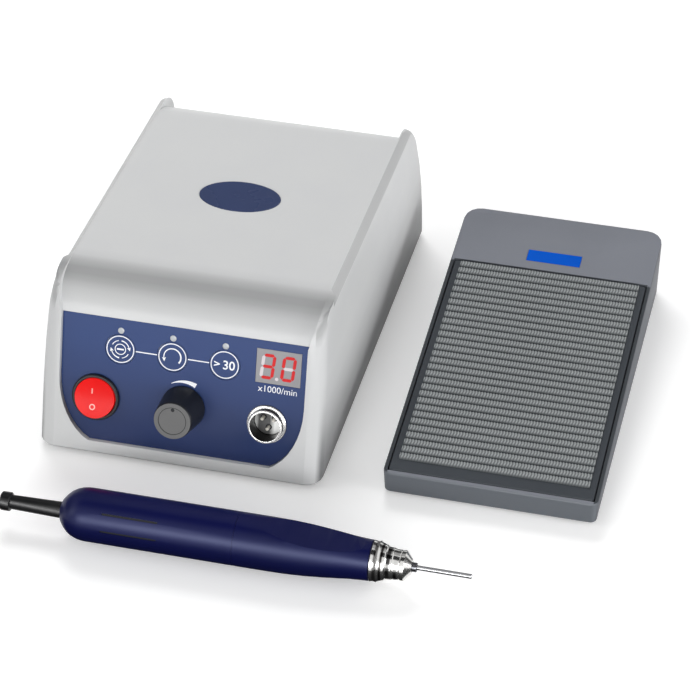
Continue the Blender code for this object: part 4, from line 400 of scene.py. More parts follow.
# a CAD node's copy with merged corners, whole flat faces and softened edges stands for it
def refine(node, body, look, sharp=30, bevel=0.0):
    shape = bmesh.new()
    shape.from_mesh(nodes[node].data)
    bmesh.ops.remove_doubles(shape, verts=shape.verts, dist=mergeGap)
    bmesh.ops.dissolve_limit(shape, angle_limit=flatAngle, verts=shape.verts, edges=shape.edges)
    name = "".join(part.capitalize() if i else part for i, part in enumerate(node.split("_"))) + "Finish"
    piece = finishPiece(name, shape, body, look, sharp, bevel)
    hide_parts(node)
    return piece


def thicken(shape, depth):
    grown = bmesh.ops.extrude_face_region(shape, geom=shape.faces[:])
    top = [item for item in grown["geom"] if isinstance(item, bmesh.types.BMVert)]
    bmesh.ops.translate(shape, verts=top, vec=upright * depth)


# a flat ring, or part of one, spun from one short edge
def ringBand(radius, width, start=0.0, sweep=360.0, steps=64):
    shape = bmesh.new()
    ends = [shape.verts.new((radius + side * width / 2, 0, 0)) for side in (-1, 1)]
    edge = shape.edges.new(ends)
    whole = sweep >= 360
    bmesh.ops.rotate(shape, verts=ends, cent=(0, 0, 0), matrix=Matrix.Rotation(math.radians(start), 3, "Z"))
    bmesh.ops.spin(shape, geom=ends + [edge], angle=math.radians(sweep), steps=steps, axis=(0, 0, 1),
                   cent=(0, 0, 0), use_merge=whole)
    return shape


def flatFace(points):
    shape = bmesh.new()
    shape.faces.new([shape.verts.new((x, y, 0)) for x, y in points])
    return shape


def flatBar(length, width, x=0.0):
    reach, half = length / 2, width / 2
    return flatFace(((x - reach, -half), (x + reach, -half), (x + reach, half), (x - reach, half)))


# adds one shape to another at a place, with a little thickness
def stamp(target, shape, place, depth=inkDepth):
    if depth:
        thicken(shape, depth)
    shape.transform(place)
    mesh = bpy.data.meshes.new("stamp")
    shape.to_mesh(mesh)
    shape.free()
    target.from_mesh(mesh)
    bpy.data.meshes.remove(mesh)


# a word made mesh, fitted to its real width and height, and stamped at its place
def lettering(text, width, height, place, target, weight=0.0, typeShare=1.4):
    curve = bpy.data.curves.new("lettering", "FONT")
    curve.body = text
    curve.size = height * typeShare
    curve.align_x = "CENTER"
    curve.align_y = "CENTER"
    curve.offset = weight
    curve.resolution_u = 4
    holder = bpy.data.objects.new("lettering", curve)
    bpy.context.scene.collection.objects.link(holder)
    mesh = bpy.data.meshes.new_from_object(holder.evaluated_get(bpy.context.evaluated_depsgraph_get()))
    bpy.data.objects.remove(holder)
    shape = bmesh.new()
    shape.from_mesh(mesh)
    bpy.data.meshes.remove(mesh)
    bmesh.ops.remove_doubles(shape, verts=shape.verts, dist=mergeGap)
    spans = [[vertex.co[axis] for vertex in shape.verts] for axis in (0, 1)]
    middle = [(min(span) + max(span)) / 2 for span in spans]
    grown = [size / (max(span) - min(span)) for size, span in zip((width, height), spans)]
    bmesh.ops.translate(shape, verts=shape.verts, vec=(-middle[0], -middle[1], 0))
    bmesh.ops.scale(shape, verts=shape.verts, vec=(grown[0], grown[1], 1))
    stamp(target, shape, place)


# a profile of (radius, height), open or closed, spun about the local z axis
def spun(profile, steps=96, closed=False):
    shape = bmesh.new()
    ring = [shape.verts.new((radius, 0, height)) for radius, height in profile]
    edges = [shape.edges.new(pair) for pair in zip(ring, ring[1:])]
    if closed:
        edges.append(shape.edges.new((ring[-1], ring[0])))
    bmesh.ops.spin(shape, geom=ring + edges, angle=fullTurn, steps=steps, axis=(0, 0, 1), cent=(0, 0, 0),
                   use_merge=True)
    bmesh.ops.remove_doubles(shape, verts=shape.verts, dist=mergeGap / 2)
    return shape


def feet(kind, rounding=0.0004):
    return {kind + "_foot_" + end + "_" + side: rounding for end in ("front", "rear")
            for side in ("left", "right")}


# carried-over CAD nodes, each with its finish and its own edge rounding
carried = {
    "control_box": {
        "cover_white": {"housing_shell": 0.0004},
        "panel_blue": {"front_panel": 0.0001},
        "window_smoke": {"display_window": 0.0001},
        "display_black": {"display_module": 0.0002},
        "led_lens": {"led_left": 0, "led_middle": 0, "led_right": 0},
        "insertSilver": {"socket_insert": 0.0001},
        "switch_black": {"switch_bezel": 0.0003, "mains_inlet": 0.0003,
                         "fuse_holder": 0.0003, "pedal_socket": 0.0002},
        "chromeBarrel": {"socket_shell": 0.0002},
        "brass_pin": {"socket_pin_left": 0, "socket_pin_right": 0, "socket_pin_lower": 0},
        "steel": {"speed_potentiometer": 0.0002, "socket_nut": 0.0002},
        "board_green": {"display_board": 0, "control_board": 0},
        "core_steel": {"transformer_core": 0.0003},
        "coil_copper": {"transformer_coil": 0.0004},
        "badge_navy": {"lid_badge": 0.0001},
        "bottom_grey": {"bottom_plate": 0.0003},
        "foot_rubber": feet("box"),
    },
    "rocker": {"rocker_red": {"power_rocker": 0.0004}},
    "knob": {
        "knob_grey": {"speed_knob": 0.0002},
        "cap_grey": {"knob_cap": 0.0001},
        "steel": {"speed_shaft": 0},
    },
    "left_key": {"panel_blue": {"key_left": 0.0001}},
    "middle_key": {"panel_blue": {"key_middle": 0.0001}},
    "right_key": {"panel_blue": {"key_right": 0.0001}},
    "handpiece": {
        "navy_body": {"motor_sleeve": 0.0001},
        "boot_black": {"cord_boot": 0.0002},
        "magnet_grey": {"stator_magnet": 0.0002},
        "steel": {"rear_bearing": 0.0001, "front_bearing": 0.0001},
    },
    "grip": {"navy_body": {"front_grip": 0.0002}},
    "rotor": {"core_steel": {"rotor_core": 0.0001}, "steel": {"spindle": 0.0002}},
    "chuck": {"colletDark": {"collet": 0.0001}},
    "tool": {"shankBright": {"tool_shank": 0.0001}},
    "pedal": {
        "pedal_grey": {"pedal_base": 0.0005},
        "badge_blue": {"pedal_badge": 0.0002},
        "steel": {"hinge_pin": 0.0002},
        "switch_black": {"pedal_switch": 0.0002, "cord_gland": 0.0003},
        "foot_rubber": feet("pedal"),
    },
    "treadle_plate": {"treadle_grey": {"treadle": 0.0003}},
}
refined = {}
for body, groups in carried.items():
    for look, members in groups.items():
        for node, rounding in members.items():
            refined[node] = refine(node, body, look, bevel=rounding)

# each return spring stands on the pedal under the treadle; it goes on no body and its place is baked into its
# mesh
for node in ("return_spring_left", "return_spring_right"):
    refined[node] = refine(node, None, "steel", sharp=60)
    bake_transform(refined[node])
print("carried-over nodes finished:", len(refined))


# the white print on the front panel; a word is (text, width, height, across and down from its key's middle)
panelPrint = {
    "lift": 0.00001, "keyDrop": 0.0154, "keyXs": (-0.0313, -0.0056, 0.0201), "ringRadius": 0.00665,
    "ringLine": 0.0005, "linkFrom": 0.0076, "linkLine": 0.00056, "dialX": 0.001, "dialDrop": 0.0398,
    "dialRadius": 0.0128, "dialThick": 0.0024, "dialThin": 0.0002, "dialStart": 64, "dialSweep": 56,
    "keyWords": ((">", 0.0029, 0.0026, -0.0038, -0.0001), ("30", 0.0058, 0.0046, 0.0021, 0)),
    "wordWeight": 0.0001, "unitX": 0.0463, "unitDrop": 0.0242, "unitWidth": 0.019, "unitHeight": 0.0032,
}
# the two turning icons: tapered arcs, each with an arrow head; turns are in degrees
twoWay = {"radius": 0.0044, "starts": (14, 194), "thin": 0.00035, "thick": 0.0007, "sweep": 70,
          "tailStart": 88, "tailThick": 0.00045, "tailSweep": 52, "headLength": 0.0015, "headWidth": 0.0019,
          "headTurn": -84, "ringRadius": 0.0026, "ringLine": 0.00042, "barLength": 0.0034, "barWidth": 0.0008}
oneWay = {"radius": 0.0042, "first": 0.0008, "last": 0.00042, "start": -40, "sweep": 232, "headAt": 194,
          "headLength": 0.0017, "headWidth": 0.002, "headTurn": 82}


# an arrow head on an icon's arc, at an angle on it, looking the head's own turn away from that angle
def arrowHead(icon, at, notchShare=0.25):
    length, half, angle = icon["headLength"], icon["headWidth"] / 2, math.radians(at)
    shape = flatFace(((length, 0), (-length * notchShare, half), (0, 0), (-length * notchShare, -half)))
    spot = Matrix.Translation((icon["radius"] * math.cos(angle), icon["radius"] * math.sin(angle), 0))
    shape.transform(spot @ Matrix.Rotation(math.radians(at + icon["headTurn"]), 4, "Z"))
    return shape


# an arc whose line goes from its first width to its last
def taperedArc(radius, first, last, start, sweep, steps=20):
    points = []
    for side in (1, -1):
        for i in (range(steps + 1) if side == 1 else range(steps, -1, -1)):
            share = i / steps
            angle = math.radians(start + sweep * share)
            reach = radius + side * (first + (last - first) * share) / 2
            points.append((reach * math.cos(angle), reach * math.sin(angle)))
    return flatFace(points)


def twoWayIcon(target, place):
    radius, thin = twoWay["radius"], twoWay["thin"]
    for start in twoWay["starts"]:
        stamp(target, taperedArc(radius, thin, twoWay["thick"], start, twoWay["sweep"]), place)
        tailStart = start + twoWay["tailStart"]
        tail = taperedArc(radius, thin, twoWay["tailThick"], tailStart, twoWay["tailSweep"])
        stamp(target, tail, place)
        stamp(target, arrowHead(twoWay, start), place)
    stamp(target, ringBand(twoWay["ringRadius"], twoWay["ringLine"], steps=40), place)
    stamp(target, flatBar(twoWay["barLength"], twoWay["barWidth"]), place)


def oneWayIcon(target, place):
    arc = taperedArc(oneWay["radius"], oneWay["first"], oneWay["last"], oneWay["start"], oneWay["sweep"], 36)
    stamp(target, arc, place)
    stamp(target, arrowHead(oneWay, oneWay["headAt"]), place)


def addPanelPrint():
    settings = panelPrint
    lift, drop, xs = settings["lift"], settings["keyDrop"], settings["keyXs"]
    for x, side in zip(xs, ("left", "middle", "right")):
        legend = bmesh.new()
        place = onPanel(x, drop, lift)
        stamp(legend, ringBand(settings["ringRadius"], settings["ringLine"]), place)
        if side == "left":
            twoWayIcon(legend, place)
        elif side == "middle":
            oneWayIcon(legend, place)
        else:
            for text, width, height, across, down in settings["keyWords"]:
                spot = onPanel(x + across, drop + down, lift)
                lettering(text, width, height, spot, legend, settings["wordWeight"])
        finishPiece(side + "KeyLegend", legend, side + "_key", "printWhite")
    fixed = bmesh.new()
    for first, second in zip(xs, xs[1:]):
        reach = second - first - 2 * settings["linkFrom"]
        link = flatBar(reach, settings["linkLine"], (first + second) / 2)
        stamp(fixed, link, onPanel(0, drop, lift))
    arc = taperedArc(settings["dialRadius"], settings["dialThick"], settings["dialThin"],
                     settings["dialStart"], settings["dialSweep"])
    stamp(fixed, arc, onPanel(settings["dialX"], settings["dialDrop"], lift))
    unitSpot = onPanel(settings["unitX"], settings["unitDrop"], lift)
    lettering("x1000/min", settings["unitWidth"], settings["unitHeight"], unitSpot, fixed)
    finishPiece("panelPrint", fixed, "control_box", "printWhite")


addPanelPrint()


# the display's two digits, seven bars each, and the dot between them
digits = {"height": 0.0128, "width": 0.0068, "bar": 0.00155, "slant": 0.09, "lift": 0.00002, "gap": 0.00022,
          "spots": {"three": -0.0052, "nought": 0.0048}, "dotRadius": 0.00085, "dotX": -0.0006,
          "dotDown": 0.0058}
unlitBars = {"three": ("upperLeft", "lowerLeft"), "nought": ("middle",)}
barLayout = {  # bar name: (middle across, middle up, standing) in half widths and half heights
    "top": (0, 1, False), "middle": (0, 0, False), "foot": (0, -1, False), "upperLeft": (-1, 0.5, True),
    "upperRight": (1, 0.5, True), "lowerLeft": (-1, -0.5, True), "lowerRight": (1, -0.5, True),
}


def digitBar(length, width, standing):
    half, thin = length / 2, width / 2
    points = [(-half, 0), (-half + thin, -thin), (half - thin, -thin), (half, 0), (half - thin, thin),
              (-half + thin, thin)]
    if standing:
        points = [(-y, x) for x, y in points]
    return flatFace(points)


def addDigits():
    lit, dim = bmesh.new(), bmesh.new()
    paneX, paneDrop, lift = panelPlace["paneX"], panelPlace["paneDrop"], digits["lift"]
    halfWidth = (digits["width"] - digits["bar"]) / 2
    halfHeight = (digits["height"] - digits["bar"]) / 2
    slant = Matrix.Identity(4)
    slant[0][1] = digits["slant"]
    for digit, x in digits["spots"].items():
        for bar, (across, up, standing) in barLayout.items():
            length = (halfHeight if standing else halfWidth * 2) - digits["gap"]
            shape = digitBar(length, digits["bar"], standing)
            bmesh.ops.translate(shape, verts=shape.verts, vec=(across * halfWidth, up * halfHeight, 0))
            stamp(dim if bar in unlitBars[digit] else lit, shape, onPanel(paneX + x, paneDrop, lift) @ slant)
    dot = bmesh.new()
    bmesh.ops.create_circle(dot, cap_ends=True, segments=20, radius=digits["dotRadius"])
    stamp(dim, dot, onPanel(paneX + digits["dotX"], paneDrop + digits["dotDown"], lift))
    finishPiece("litDigitBars", lit, "control_box", "digitLit")
    finishPiece("unlitDigitBars", dim, "control_box", "digitDim")


addDigits()
print("panel print and digits made")


# the bright nose rings and cap, turned finer than the solids so that their bands of light run clean
nose = {"ring": 0.0097, "taperEnd": 0.0083, "step": 0.008, "last": 0.0076, "end": 0.0072, "groove": 0.0004,
        "deep": 0.0003, "flareDip": 0.0003, "waistDip": 0.0002, "ringDip": 0.0001, "joint": 0.0003,
        "sleeveLength": 0.0068, "bore": 0.005, "quill": 0.0066, "flange": 0.011, "flangeLength": 0.0079,
        "capFace": 0.0036, "capHole": 0.0025, "capCone": 0.003, "capWall": 0.0012, "capEdge": 0.0002,
        "steps": 128}


# a place on the axis of a piece of the handpiece, given by the piece's box, with local z along that axis
def handPlace(x, low, high):
    centre = Vector((x, (low.y + high.y) / 2, (low.z + high.z) / 2))
    return placed(centre, rear, upright, right)


# a ring with a hollow turned round its middle, as (radius, place along the axis), between two end radii
def hollowRing(radius, endRadius, low, high, dip, steps=8):
    points = []
    for index in range(steps + 1):
        share = index / steps
        size = radius + (endRadius - radius) * share
        points.append((size - dip * math.sin(math.pi * share), low + (high - low) * share))
    return points


def noseProfiles():
    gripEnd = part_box("front_grip")[1].x
    start, end = gripEnd + nose["joint"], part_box("nose_sleeve")[1].x
    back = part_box("nose_sleeve")[0].x
    flangeEnd = back + nose["flangeLength"]
    ringEnd = end - nose["sleeveLength"]
    waist = (start + ringEnd) / 2
    deep, groove, ring = nose["deep"], nose["groove"], nose["ring"]
    sleeve = [(nose["bore"], back), (nose["flange"], back), (nose["flange"], flangeEnd),
              (nose["quill"], flangeEnd), (nose["quill"], start), (ring - deep, start)]
    sleeve += hollowRing(ring, ring, start + deep, waist - groove, nose["flareDip"])
    sleeve += hollowRing(ring - deep, nose["taperEnd"], waist, ringEnd - groove, nose["waistDip"])
    sleeve.append((nose["step"], ringEnd))
    middle = (ringEnd + end) / 2
    for radius, low, high in ((nose["last"], ringEnd, middle), (nose["end"], middle, end)):
        sleeve += hollowRing(radius, radius, low + groove, high - groove, nose["ringDip"])
        sleeve.append((radius - deep, high))
    sleeve.append((nose["bore"], end))
    capStart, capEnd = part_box("nose_cap")[0].x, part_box("nose_cap")[1].x
    cone, wall, size, edge = capEnd - nose["capCone"], nose["capWall"], nose["end"], nose["capEdge"]
    cap = [(nose["bore"], capStart), (size - edge, capStart), (size, capStart + edge), (size, cone),
           (nose["capFace"], capEnd), (nose["capHole"], capEnd), (nose["capHole"], capEnd - wall),
           (nose["bore"], cone - wall)]
    return {"nose_sleeve": ("noseRings", sleeve), "nose_cap": ("noseCapBright", cap)}


def addNose():
    low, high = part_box("nose_sleeve")
    place = handPlace(0, low, high)
    for node, (name, profile) in noseProfiles().items():
        shape = spun(profile, nose["steps"], True)
        shape.transform(place)
        piece = finishPiece(name, shape, "handpiece", "noseChrome", sharp=30)
        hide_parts(node)


addNose()


# the joint between sleeve and grip reads as a fine step, not as a dark slit
seamRing = {"under": 0.00018, "wall": 0.0006, "length": 0.00026, "past": 0.00002}


def addSeamRing():
    seam, (low, high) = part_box("front_grip")[0].x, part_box("motor_sleeve")
    radius = (high.z - low.z) / 2 - seamRing["under"]
    inner = radius - seamRing["wall"]
    back, front = -seamRing["length"], seamRing["past"]
    ring = spun([(inner, back), (radius, back), (radius, front), (inner, front)], closed=True)
    ring.transform(handPlace(seam, low, high))
    finishPiece("seamRing", ring, "handpiece", "navy_body")


addSeamRing()


# dark strips lie on the floors of the two fine grooves along the sleeve: painted shade
gripGrooves = {"start": -0.0626, "length": 0.0268, "width": 0.00094, "depth": 0.00049, "floor": 0.0001,
               "angles": (132.8, 171.2)}


def addGrooveShade():
    seam, (low, high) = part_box("front_grip")[0].x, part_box("motor_sleeve")
    centre = handPlace(seam + gripGrooves["start"] + gripGrooves["length"] / 2, low, high).translation
    grooveShade = bmesh.new()
    for angle in gripGrooves["angles"]:
        out = Vector((0, math.cos(math.radians(angle)), math.sin(math.radians(angle))))
        foot = centre + out * ((high.z - low.z) / 2 - gripGrooves["depth"])
        strip = flatBar(gripGrooves["length"], gripGrooves["width"])
        stamp(grooveShade, strip, placed(foot, right, out.cross(right), out), gripGrooves["floor"])
    finishPiece("sleeveGrooveShade", grooveShade, "handpiece", "paintedShadeAndInk")


addGrooveShade()
print("nose turned, seam and grooves lined")


def surfaceTree(mesh):
    surface = bmesh.new()
    surface.from_mesh(mesh)
    tree = BVHTree.FromBMesh(surface)
    surface.free()
    return tree


# lays a flat shape on a piece, seen from the given direction, and a little above it
def drapeOn(shape, piece, direction, lift, reach=0.02):
    tree = surfaceTree(piece.data)
    for vertex in shape.verts:
        hit = tree.ray_cast(vertex.co + direction * reach, -direction)
        if hit[0] is not None:
            vertex.co = hit[0] + direction * lift


# the line and the ring on the rocker: x from the panel's middle, the switch's drop from its top, and up or
# down from that drop
rockerMarks = {"drop": 0.0413, "lineX": -0.0436, "lineUp": 0.0036, "lineWidth": 0.0006,
               "lineLength": 0.0026, "lineSteps": 6, "ringX": -0.0430, "ringDown": 0.0042,
               "ringRadius": 0.0012, "ringLine": 0.0005, "lift": 0.00003}


def addRockerMarks():
    marks = bmesh.new()
    settings = rockerMarks
    upper = onPanel(settings["lineX"], settings["drop"] - settings["lineUp"])
    lower = onPanel(settings["ringX"], settings["drop"] + settings["ringDown"])
    line = bmesh.new()
    bmesh.ops.create_grid(line, x_segments=1, y_segments=settings["lineSteps"], size=0.5)
    bmesh.ops.scale(line, verts=line.verts, vec=(settings["lineWidth"], settings["lineLength"], 1))
    stamp(marks, line, upper, 0)
    stamp(marks, ringBand(settings["ringRadius"], settings["ringLine"], steps=36), lower, 0)
    drapeOn(marks, refined["power_rocker"], panelOut, settings["lift"])
    finishPiece("rockerMarks", marks, "rocker", "rockerPrint")


addRockerMarks()


# the knob's face: a grey rim plate, a fine turned groove drawn as a dark ring, which is painted shade, and a
# pointer spot
knobFace = {"lift": 0.01902, "groove": 0.0067, "grooveWidth": 0.00025, "spot": 0.0009, "spotUp": 0.0056,
            "rimFrom": 0.0069, "rimTo": 0.0089, "rimThickness": 0.00012, "rimEdge": 0.00004}


def addKnobFace():
    marks = bmesh.new()
    place = onPanel(panelPrint["dialX"], panelPrint["dialDrop"], knobFace["lift"])
    stamp(marks, ringBand(knobFace["groove"], knobFace["grooveWidth"]), place)
    spot = bmesh.new()
    bmesh.ops.create_circle(spot, cap_ends=True, segments=24, radius=knobFace["spot"])
    stamp(marks, spot, place @ Matrix.Translation((0, knobFace["spotUp"], 0)))
    finishPiece("knobFaceMarks", marks, "knob", "paintedShadeAndInk")
    inner, outer = knobFace["rimFrom"], knobFace["rimTo"]
    rim = ringBand((inner + outer) / 2, outer - inner, steps=96)
    thicken(rim, knobFace["rimThickness"])
    rim.transform(place)
    finishPiece("knobFaceRim", rim, "knob", "cap_grey", bevel=knobFace["rimEdge"])


addKnobFace()


# a dark ring round the foot of each socket pin: painted shade
pinShadeRing = {"radius": 0.0012, "width": 0.0007, "thickness": 0.00006}


def addPinShadeRings():
    face = max(vertex.co.dot(panelOut) for vertex in nodes["socket_insert"].data.vertices)
    rings = bmesh.new()
    for side in ("left", "right", "lower"):
        middle = sum(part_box("socket_pin_" + side), Vector()) / 2
        foot = middle + panelOut * (face - middle.dot(panelOut))
        ring = ringBand(pinShadeRing["radius"], pinShadeRing["width"], steps=32)
        stamp(rings, ring, placed(foot, panelAcross, panelUp, panelOut), pinShadeRing["thickness"])
    finishPiece("socketPinShadeRings", rings, "control_box", "paintedShadeAndInk")


addPinShadeRings()
print("rocker, knob and socket marked")


# the tread pad: thirty ribs of fine upright knurls on one sheet; swell, sway and chevron shape each rib
tread = {"ribs": 30, "knurls": 64, "alongPerRib": 8, "acrossPerKnurl": 4, "sheet": 0.0012, "rise": 0.0011,
         "edge": 0.0015, "foot": 0.00005, "sway": 0.0001, "swellFrom": 0.07, "swellOver": 0.17,
         "chevron": 4.5, "ribShare": 0.72, "toothShare": 0.28, "ribPaintedLight": 0.25, "toothPaintedLight": 0.75}


def addTreadPad():
    low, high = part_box("tread_pad")
    corners = [vertex.co for vertex in nodes["tread_pad"].data.vertices]
    footZ = min(corner.z for corner in corners if corner.y < low.y + tread["edge"])
    headZ = min(corner.z for corner in corners if corner.y > high.y - tread["edge"])
    length, width = high.y - low.y, high.x - low.x
    slope = math.atan2(headZ - footZ, length)
    along = length / math.cos(slope)
    shape = bmesh.new()
    tone = shape.verts.layers.float.new("ribPaintedLight")
    rows, columns = tread["ribs"] * tread["alongPerRib"], tread["knurls"] * tread["acrossPerKnurl"]
    bmesh.ops.create_grid(shape, x_segments=columns, y_segments=rows, size=0.5)
    bmesh.ops.scale(shape, verts=shape.verts, vec=(width, along, 1))
    pitch, knurl = along / tread["ribs"], width / tread["knurls"]
    for vertex in shape.verts:
        across, up = vertex.co.x + width / 2, vertex.co.y + along / 2
        sway = tread["sway"] * math.sin(across / knurl * fullTurn)
        rib = 0.5 - 0.5 * math.cos((up + sway) / pitch * fullTurn)
        swell = min(1.0, max(0.0, (rib - tread["swellFrom"]) / tread["swellOver"]))
        chevron = abs((up / pitch) % 1 - 0.5) * tread["chevron"]
        tooth = 0.5 + 0.5 * math.cos(across / knurl * fullTurn + chevron)
        grown = tread["ribShare"] + tread["toothShare"] * tooth
        vertex.co.z = tread["sheet"] + tread["rise"] * swell * grown
        # painted light: the higher a rib and a knurl stand, the paler they are painted
        vertex[tone] = swell * (tread["ribPaintedLight"] + tread["toothPaintedLight"] * tooth)
    rim = [edge for edge in shape.edges if edge.is_boundary]
    skirt = bmesh.ops.extrude_edge_only(shape, edges=rim)
    for item in skirt["geom"]:
        if isinstance(item, bmesh.types.BMVert):
            item.co.z = tread["foot"]
    bmesh.ops.holes_fill(shape, edges=[edge for edge in shape.edges if edge.is_boundary], sides=0)
    centre = Vector(((low.x + high.x) / 2, (low.y + high.y) / 2, (footZ + headZ) / 2))
    upward = Vector((0, math.cos(slope), math.sin(slope)))
    outward = Vector((0, -math.sin(slope), math.cos(slope)))
    shape.transform(placed(centre, right, upward, outward))
    piece = finishPiece("treadKnurledPad", shape, "treadle_plate", "pad_rubber", sharp=60)
    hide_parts("tread_pad")


addTreadPad()
print("tread pad made")


# the floor screws, with sizes as shares of a head's radius and rises as shares of its height
screw = {"radius": 0.0028, "height": 0.0008, "stepShares": ((0, 0.6), (0.18, 0.25), (0.28, 0.15)),
         "armShare": 0.62, "slotShare": 0.14, "slotDepth": 0.00003, "lookFrom": -0.01}
screwSets = {
    "boxFloor": {"body": "control_box", "node": "bottom_plate", "insetX": 0.03, "insetY": 0.012},
    "pedalFloor": {"body": "pedal", "node": "pedal_base", "insetX": 0.026, "insetY": 0.014},
}


# a low domed head, grown upwards in steps
def screwHead():
    shape = bmesh.new()
    bmesh.ops.create_circle(shape, cap_ends=True, segments=32, radius=screw["radius"])
    top = shape.faces[:]
    for inset, rise in screw["stepShares"]:
        if inset:
            bmesh.ops.inset_region(shape, faces=top, thickness=screw["radius"] * inset)
        top = bmesh.ops.extrude_discrete_faces(shape, faces=top)["faces"]
        bmesh.ops.translate(shape, verts=top[0].verts[:], vec=(0, 0, screw["height"] * rise))
    return shape


# two crossing dark bars on the head stand for its slots: painted shade in place of cut slots
def crossMark(target, place):
    arm, thin = screw["radius"] * screw["armShare"], screw["radius"] * screw["slotShare"]
    for turn in (0, 90):
        bar = flatBar(2 * arm, 2 * thin)
        bar.transform(Matrix.Rotation(math.radians(turn), 4, "Z"))
        stamp(target, bar, place, screw["slotDepth"])


def addFloorScrews():
    for name, spot in screwSets.items():
        low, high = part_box(spot["node"])
        heads, slotShade = bmesh.new(), bmesh.new()
        tree = surfaceTree(nodes[spot["node"]].data)
        for x in (low.x + spot["insetX"], high.x - spot["insetX"]):
            for y in (low.y + spot["insetY"], high.y - spot["insetY"]):
                hit = tree.ray_cast(Vector((x, y, screw["lookFrom"])), upright)
                if hit[0] is None:
                    continue
                down = placed(hit[0], right, -rear, -upright)
                stamp(heads, screwHead(), down, 0)
                crossMark(slotShade, down @ Matrix.Translation((0, 0, screw["height"])))
        finishPiece(name + "Screws", heads, spot["body"], "steel")
        finishPiece(name + "ScrewSlotShade", slotShade, spot["body"], "paintedShadeAndInk")


addFloorScrews()
print("screws set")


studio = {"floorSize": 6.0, "floorGap": 0.0001, "paperSeen": 0.9, "paperBounce": 0.3, "floorLift": 0.26,
          "fadeFrom": 0.35, "fadeTo": 0.9, "skyLow": 0.5, "skyHigh": 0.34, "skyTop": 0.8,
          "clothColour": "101114", "clothRough": 0.9}


# one where the camera, a reflection or a clear piece looks straight at what carries the material
def seenDirectly(tree):
    path = addNode(tree, "ShaderNodeLightPath")
    seen = path.outputs["Is Camera Ray"]
    for kind in ("Is Glossy Ray", "Is Transmission Ray"):
        seen = reckon(tree, "MAXIMUM", seen, path.outputs[kind])
    return seen


def stagePiece(name, size, place, material):
    shape = bmesh.new()
    bmesh.ops.create_grid(shape, x_segments=1, y_segments=1, size=0.5)
    bmesh.ops.scale(shape, verts=shape.verts, vec=(size[0], size[1], 1))
    shape.transform(place)
    piece = meshObject(name, shape, material)
    return piece


def addFloor():
    material = bpy.data.materials.new("floorPaper")
    material.use_nodes = True
    tree = material.node_tree
    tree.nodes.remove(tree.nodes["Principled BSDF"])
    seen = seenDirectly(tree)
    tone = blendColours(tree, seen, grey(studio["paperBounce"]), grey(studio["paperSeen"]))
    paper = addNode(tree, "ShaderNodeBsdfDiffuse", Color=tone)
    # far from the object the paper brightens to the white of the world behind it
    place = addNode(tree, "ShaderNodeTexCoord")
    away = addNode(tree, "ShaderNodeVectorMath", operation="LENGTH", Vector=place.outputs["Object"])
    lift = spread(tree, away.outputs["Value"], studio["floorLift"], 1.0, studio["fadeFrom"],
                  studio["fadeTo"])
    bright = addNode(tree, "ShaderNodeEmission", Strength=blendNumbers(tree, seen, 0.0, lift))
    both = addNode(tree, "ShaderNodeAddShader")
    tree.links.new(paper.outputs[0], both.inputs[0])
    tree.links.new(bright.outputs[0], both.inputs[1])
    tree.links.new(both.outputs[0], tree.nodes["Material Output"].inputs["Surface"])
    size = studio["floorSize"]
    stagePiece("floor", (size, size), Matrix.Translation((0, 0, -studio["floorGap"])), material)


def addWorld():
    world = bpy.data.worlds.new("studio")
    bpy.context.scene.world = world
    world.use_nodes = True
    tree = world.node_tree
    back = tree.nodes["Background"]
    back.inputs["Color"].default_value = (1, 1, 1, 1)
    place = addNode(tree, "ShaderNodeTexCoord")
    height = addNode(tree, "ShaderNodeSeparateXYZ", Vector=place.outputs["Generated"])
    sky = spread(tree, height.outputs["Z"], studio["skyLow"], studio["skyHigh"], 0.0, studio["skyTop"])
    feed(tree, back.inputs["Strength"], blendNumbers(tree, seenDirectly(tree), sky, 1.0))


# cloths that only reflections see: dark ones overhead, behind, at both ends and low before the handpiece, so
# that bright metal has edges, and a pale one in front, which draws the long soft band along the handpiece
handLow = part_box("motor_sleeve")[0]
cloths = {
    "darkTop": {"size": (2.2, 0.85), "at": (0.01, -0.16, 1.49), "to": (0, 0, 0), "glow": 0.0},
    "darkBack": {"size": (3.4, 1.1), "at": (-0.17, 1.6, 1.0), "to": (0, 0, 0), "glow": 0.03},
    "darkLeft": {"size": (1.7, 0.9), "at": (-1.4, 0.1, 0.4), "to": (0, 0, 0.05), "glow": 0.03},
    "darkRight": {"size": (1.7, 0.9), "at": (1.5, 0.1, 0.4), "to": (0, 0, 0.05), "glow": 0.03},
    "darkUpper": {"size": (2.6, 0.8), "at": (-0.08, 0.8, 1.39), "to": (0, 0, 0), "glow": 0.4},
    "darkLow": {"size": (0.3, 0.056), "at": (0, handLow.y - 0.02, 0.0003), "to": (0, handLow.y - 0.02, 1),
                "glow": 0.0},
    "paleFront": {"size": (2.6, 0.7), "at": (0.24, -1.38, 0.42), "to": (0, 0, 0), "glow": 6.5},
}


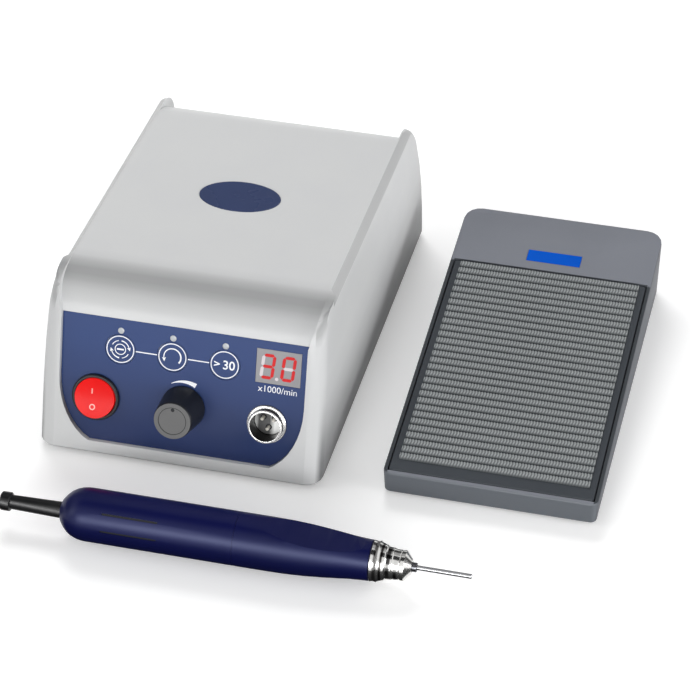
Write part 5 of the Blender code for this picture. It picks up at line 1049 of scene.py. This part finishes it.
def addCloths():
    for name, cloth in cloths.items():
        material = bpy.data.materials.new(name)
        material.use_nodes = True
        shader = material.node_tree.nodes["Principled BSDF"]
        shader.inputs["Base Color"].default_value = rgb(studio["clothColour"])
        shader.inputs["Roughness"].default_value = studio["clothRough"]
        shader.inputs["Emission Color"].default_value = (1, 1, 1, 1)
        shader.inputs["Emission Strength"].default_value = cloth["glow"]
        spot = Vector(cloth["at"])
        facing = (Vector(cloth["to"]) - spot).to_track_quat("Z", "Y").to_matrix().to_4x4()
        piece = stagePiece(name, cloth["size"], Matrix.Translation(spot) @ facing, material)
        piece.visible_camera = piece.visible_diffuse = piece.visible_shadow = False
        piece.visible_transmission = False


lamps = {
    "backWindow": {"size": (0.8, 0.6), "power": 13.0,
                   "at": (-0.4, 1.05, 1.2), "to": (0, 0, 0.03), "shine": False},
    "leftWindow": {"size": (0.9, 0.7), "power": 5.5,
                   "at": (-1.4, -0.5, 0.6), "to": (0, 0, 0.04), "shine": True},
    "frontStrip": {"size": (1.4, 0.3), "power": 9.0,
                   "at": (0.1, -1.4, 0.45), "to": (0, 0, 0.03), "shine": True},
    "rightFill": {"size": (0.8, 0.4), "power": 12.5,
                  "at": (1.5, -0.2, 0.32), "to": (0, 0, 0.05), "shine": True},
}


def addLamps():
    for name, lamp in lamps.items():
        data = bpy.data.lights.new(name, "AREA")
        data.shape = "RECTANGLE"
        data.size, data.size_y = lamp["size"]
        data.energy = lamp["power"]
        holder = bpy.data.objects.new(name, data)
        holder.location = lamp["at"]
        holder.visible_glossy = lamp["shine"]
        aim = Vector(lamp["to"]) - Vector(lamp["at"])
        holder.rotation_euler = aim.to_track_quat("-Z", "Y").to_euler()
        bpy.context.scene.collection.objects.link(holder)


view = {"lens": 145.75, "sensor": 36, "clipEnd": 20, "turn": (52.21, 0.0, 13.63), "fromPanelX": 0.32509,
        "fromPanelY": -1.01186, "height": 0.87777}


def addCamera():
    data = bpy.data.cameras.new("photoView")
    data.lens = view["lens"]
    data.sensor_width = view["sensor"]
    data.clip_end = view["clipEnd"]
    camera = bpy.data.objects.new("photoView", data)
    spot = (panelOrigin.x + view["fromPanelX"], panelOrigin.y + view["fromPanelY"], view["height"])
    camera.location = spot
    camera.rotation_euler = [math.radians(angle) for angle in view["turn"]]
    bpy.context.scene.collection.objects.link(camera)
    bpy.context.scene.camera = camera


addFloor()
addWorld()
addCloths()
addLamps()
addCamera()
bpy.context.scene.view_settings.view_transform = "Standard"
print("stage, lamps and camera set")
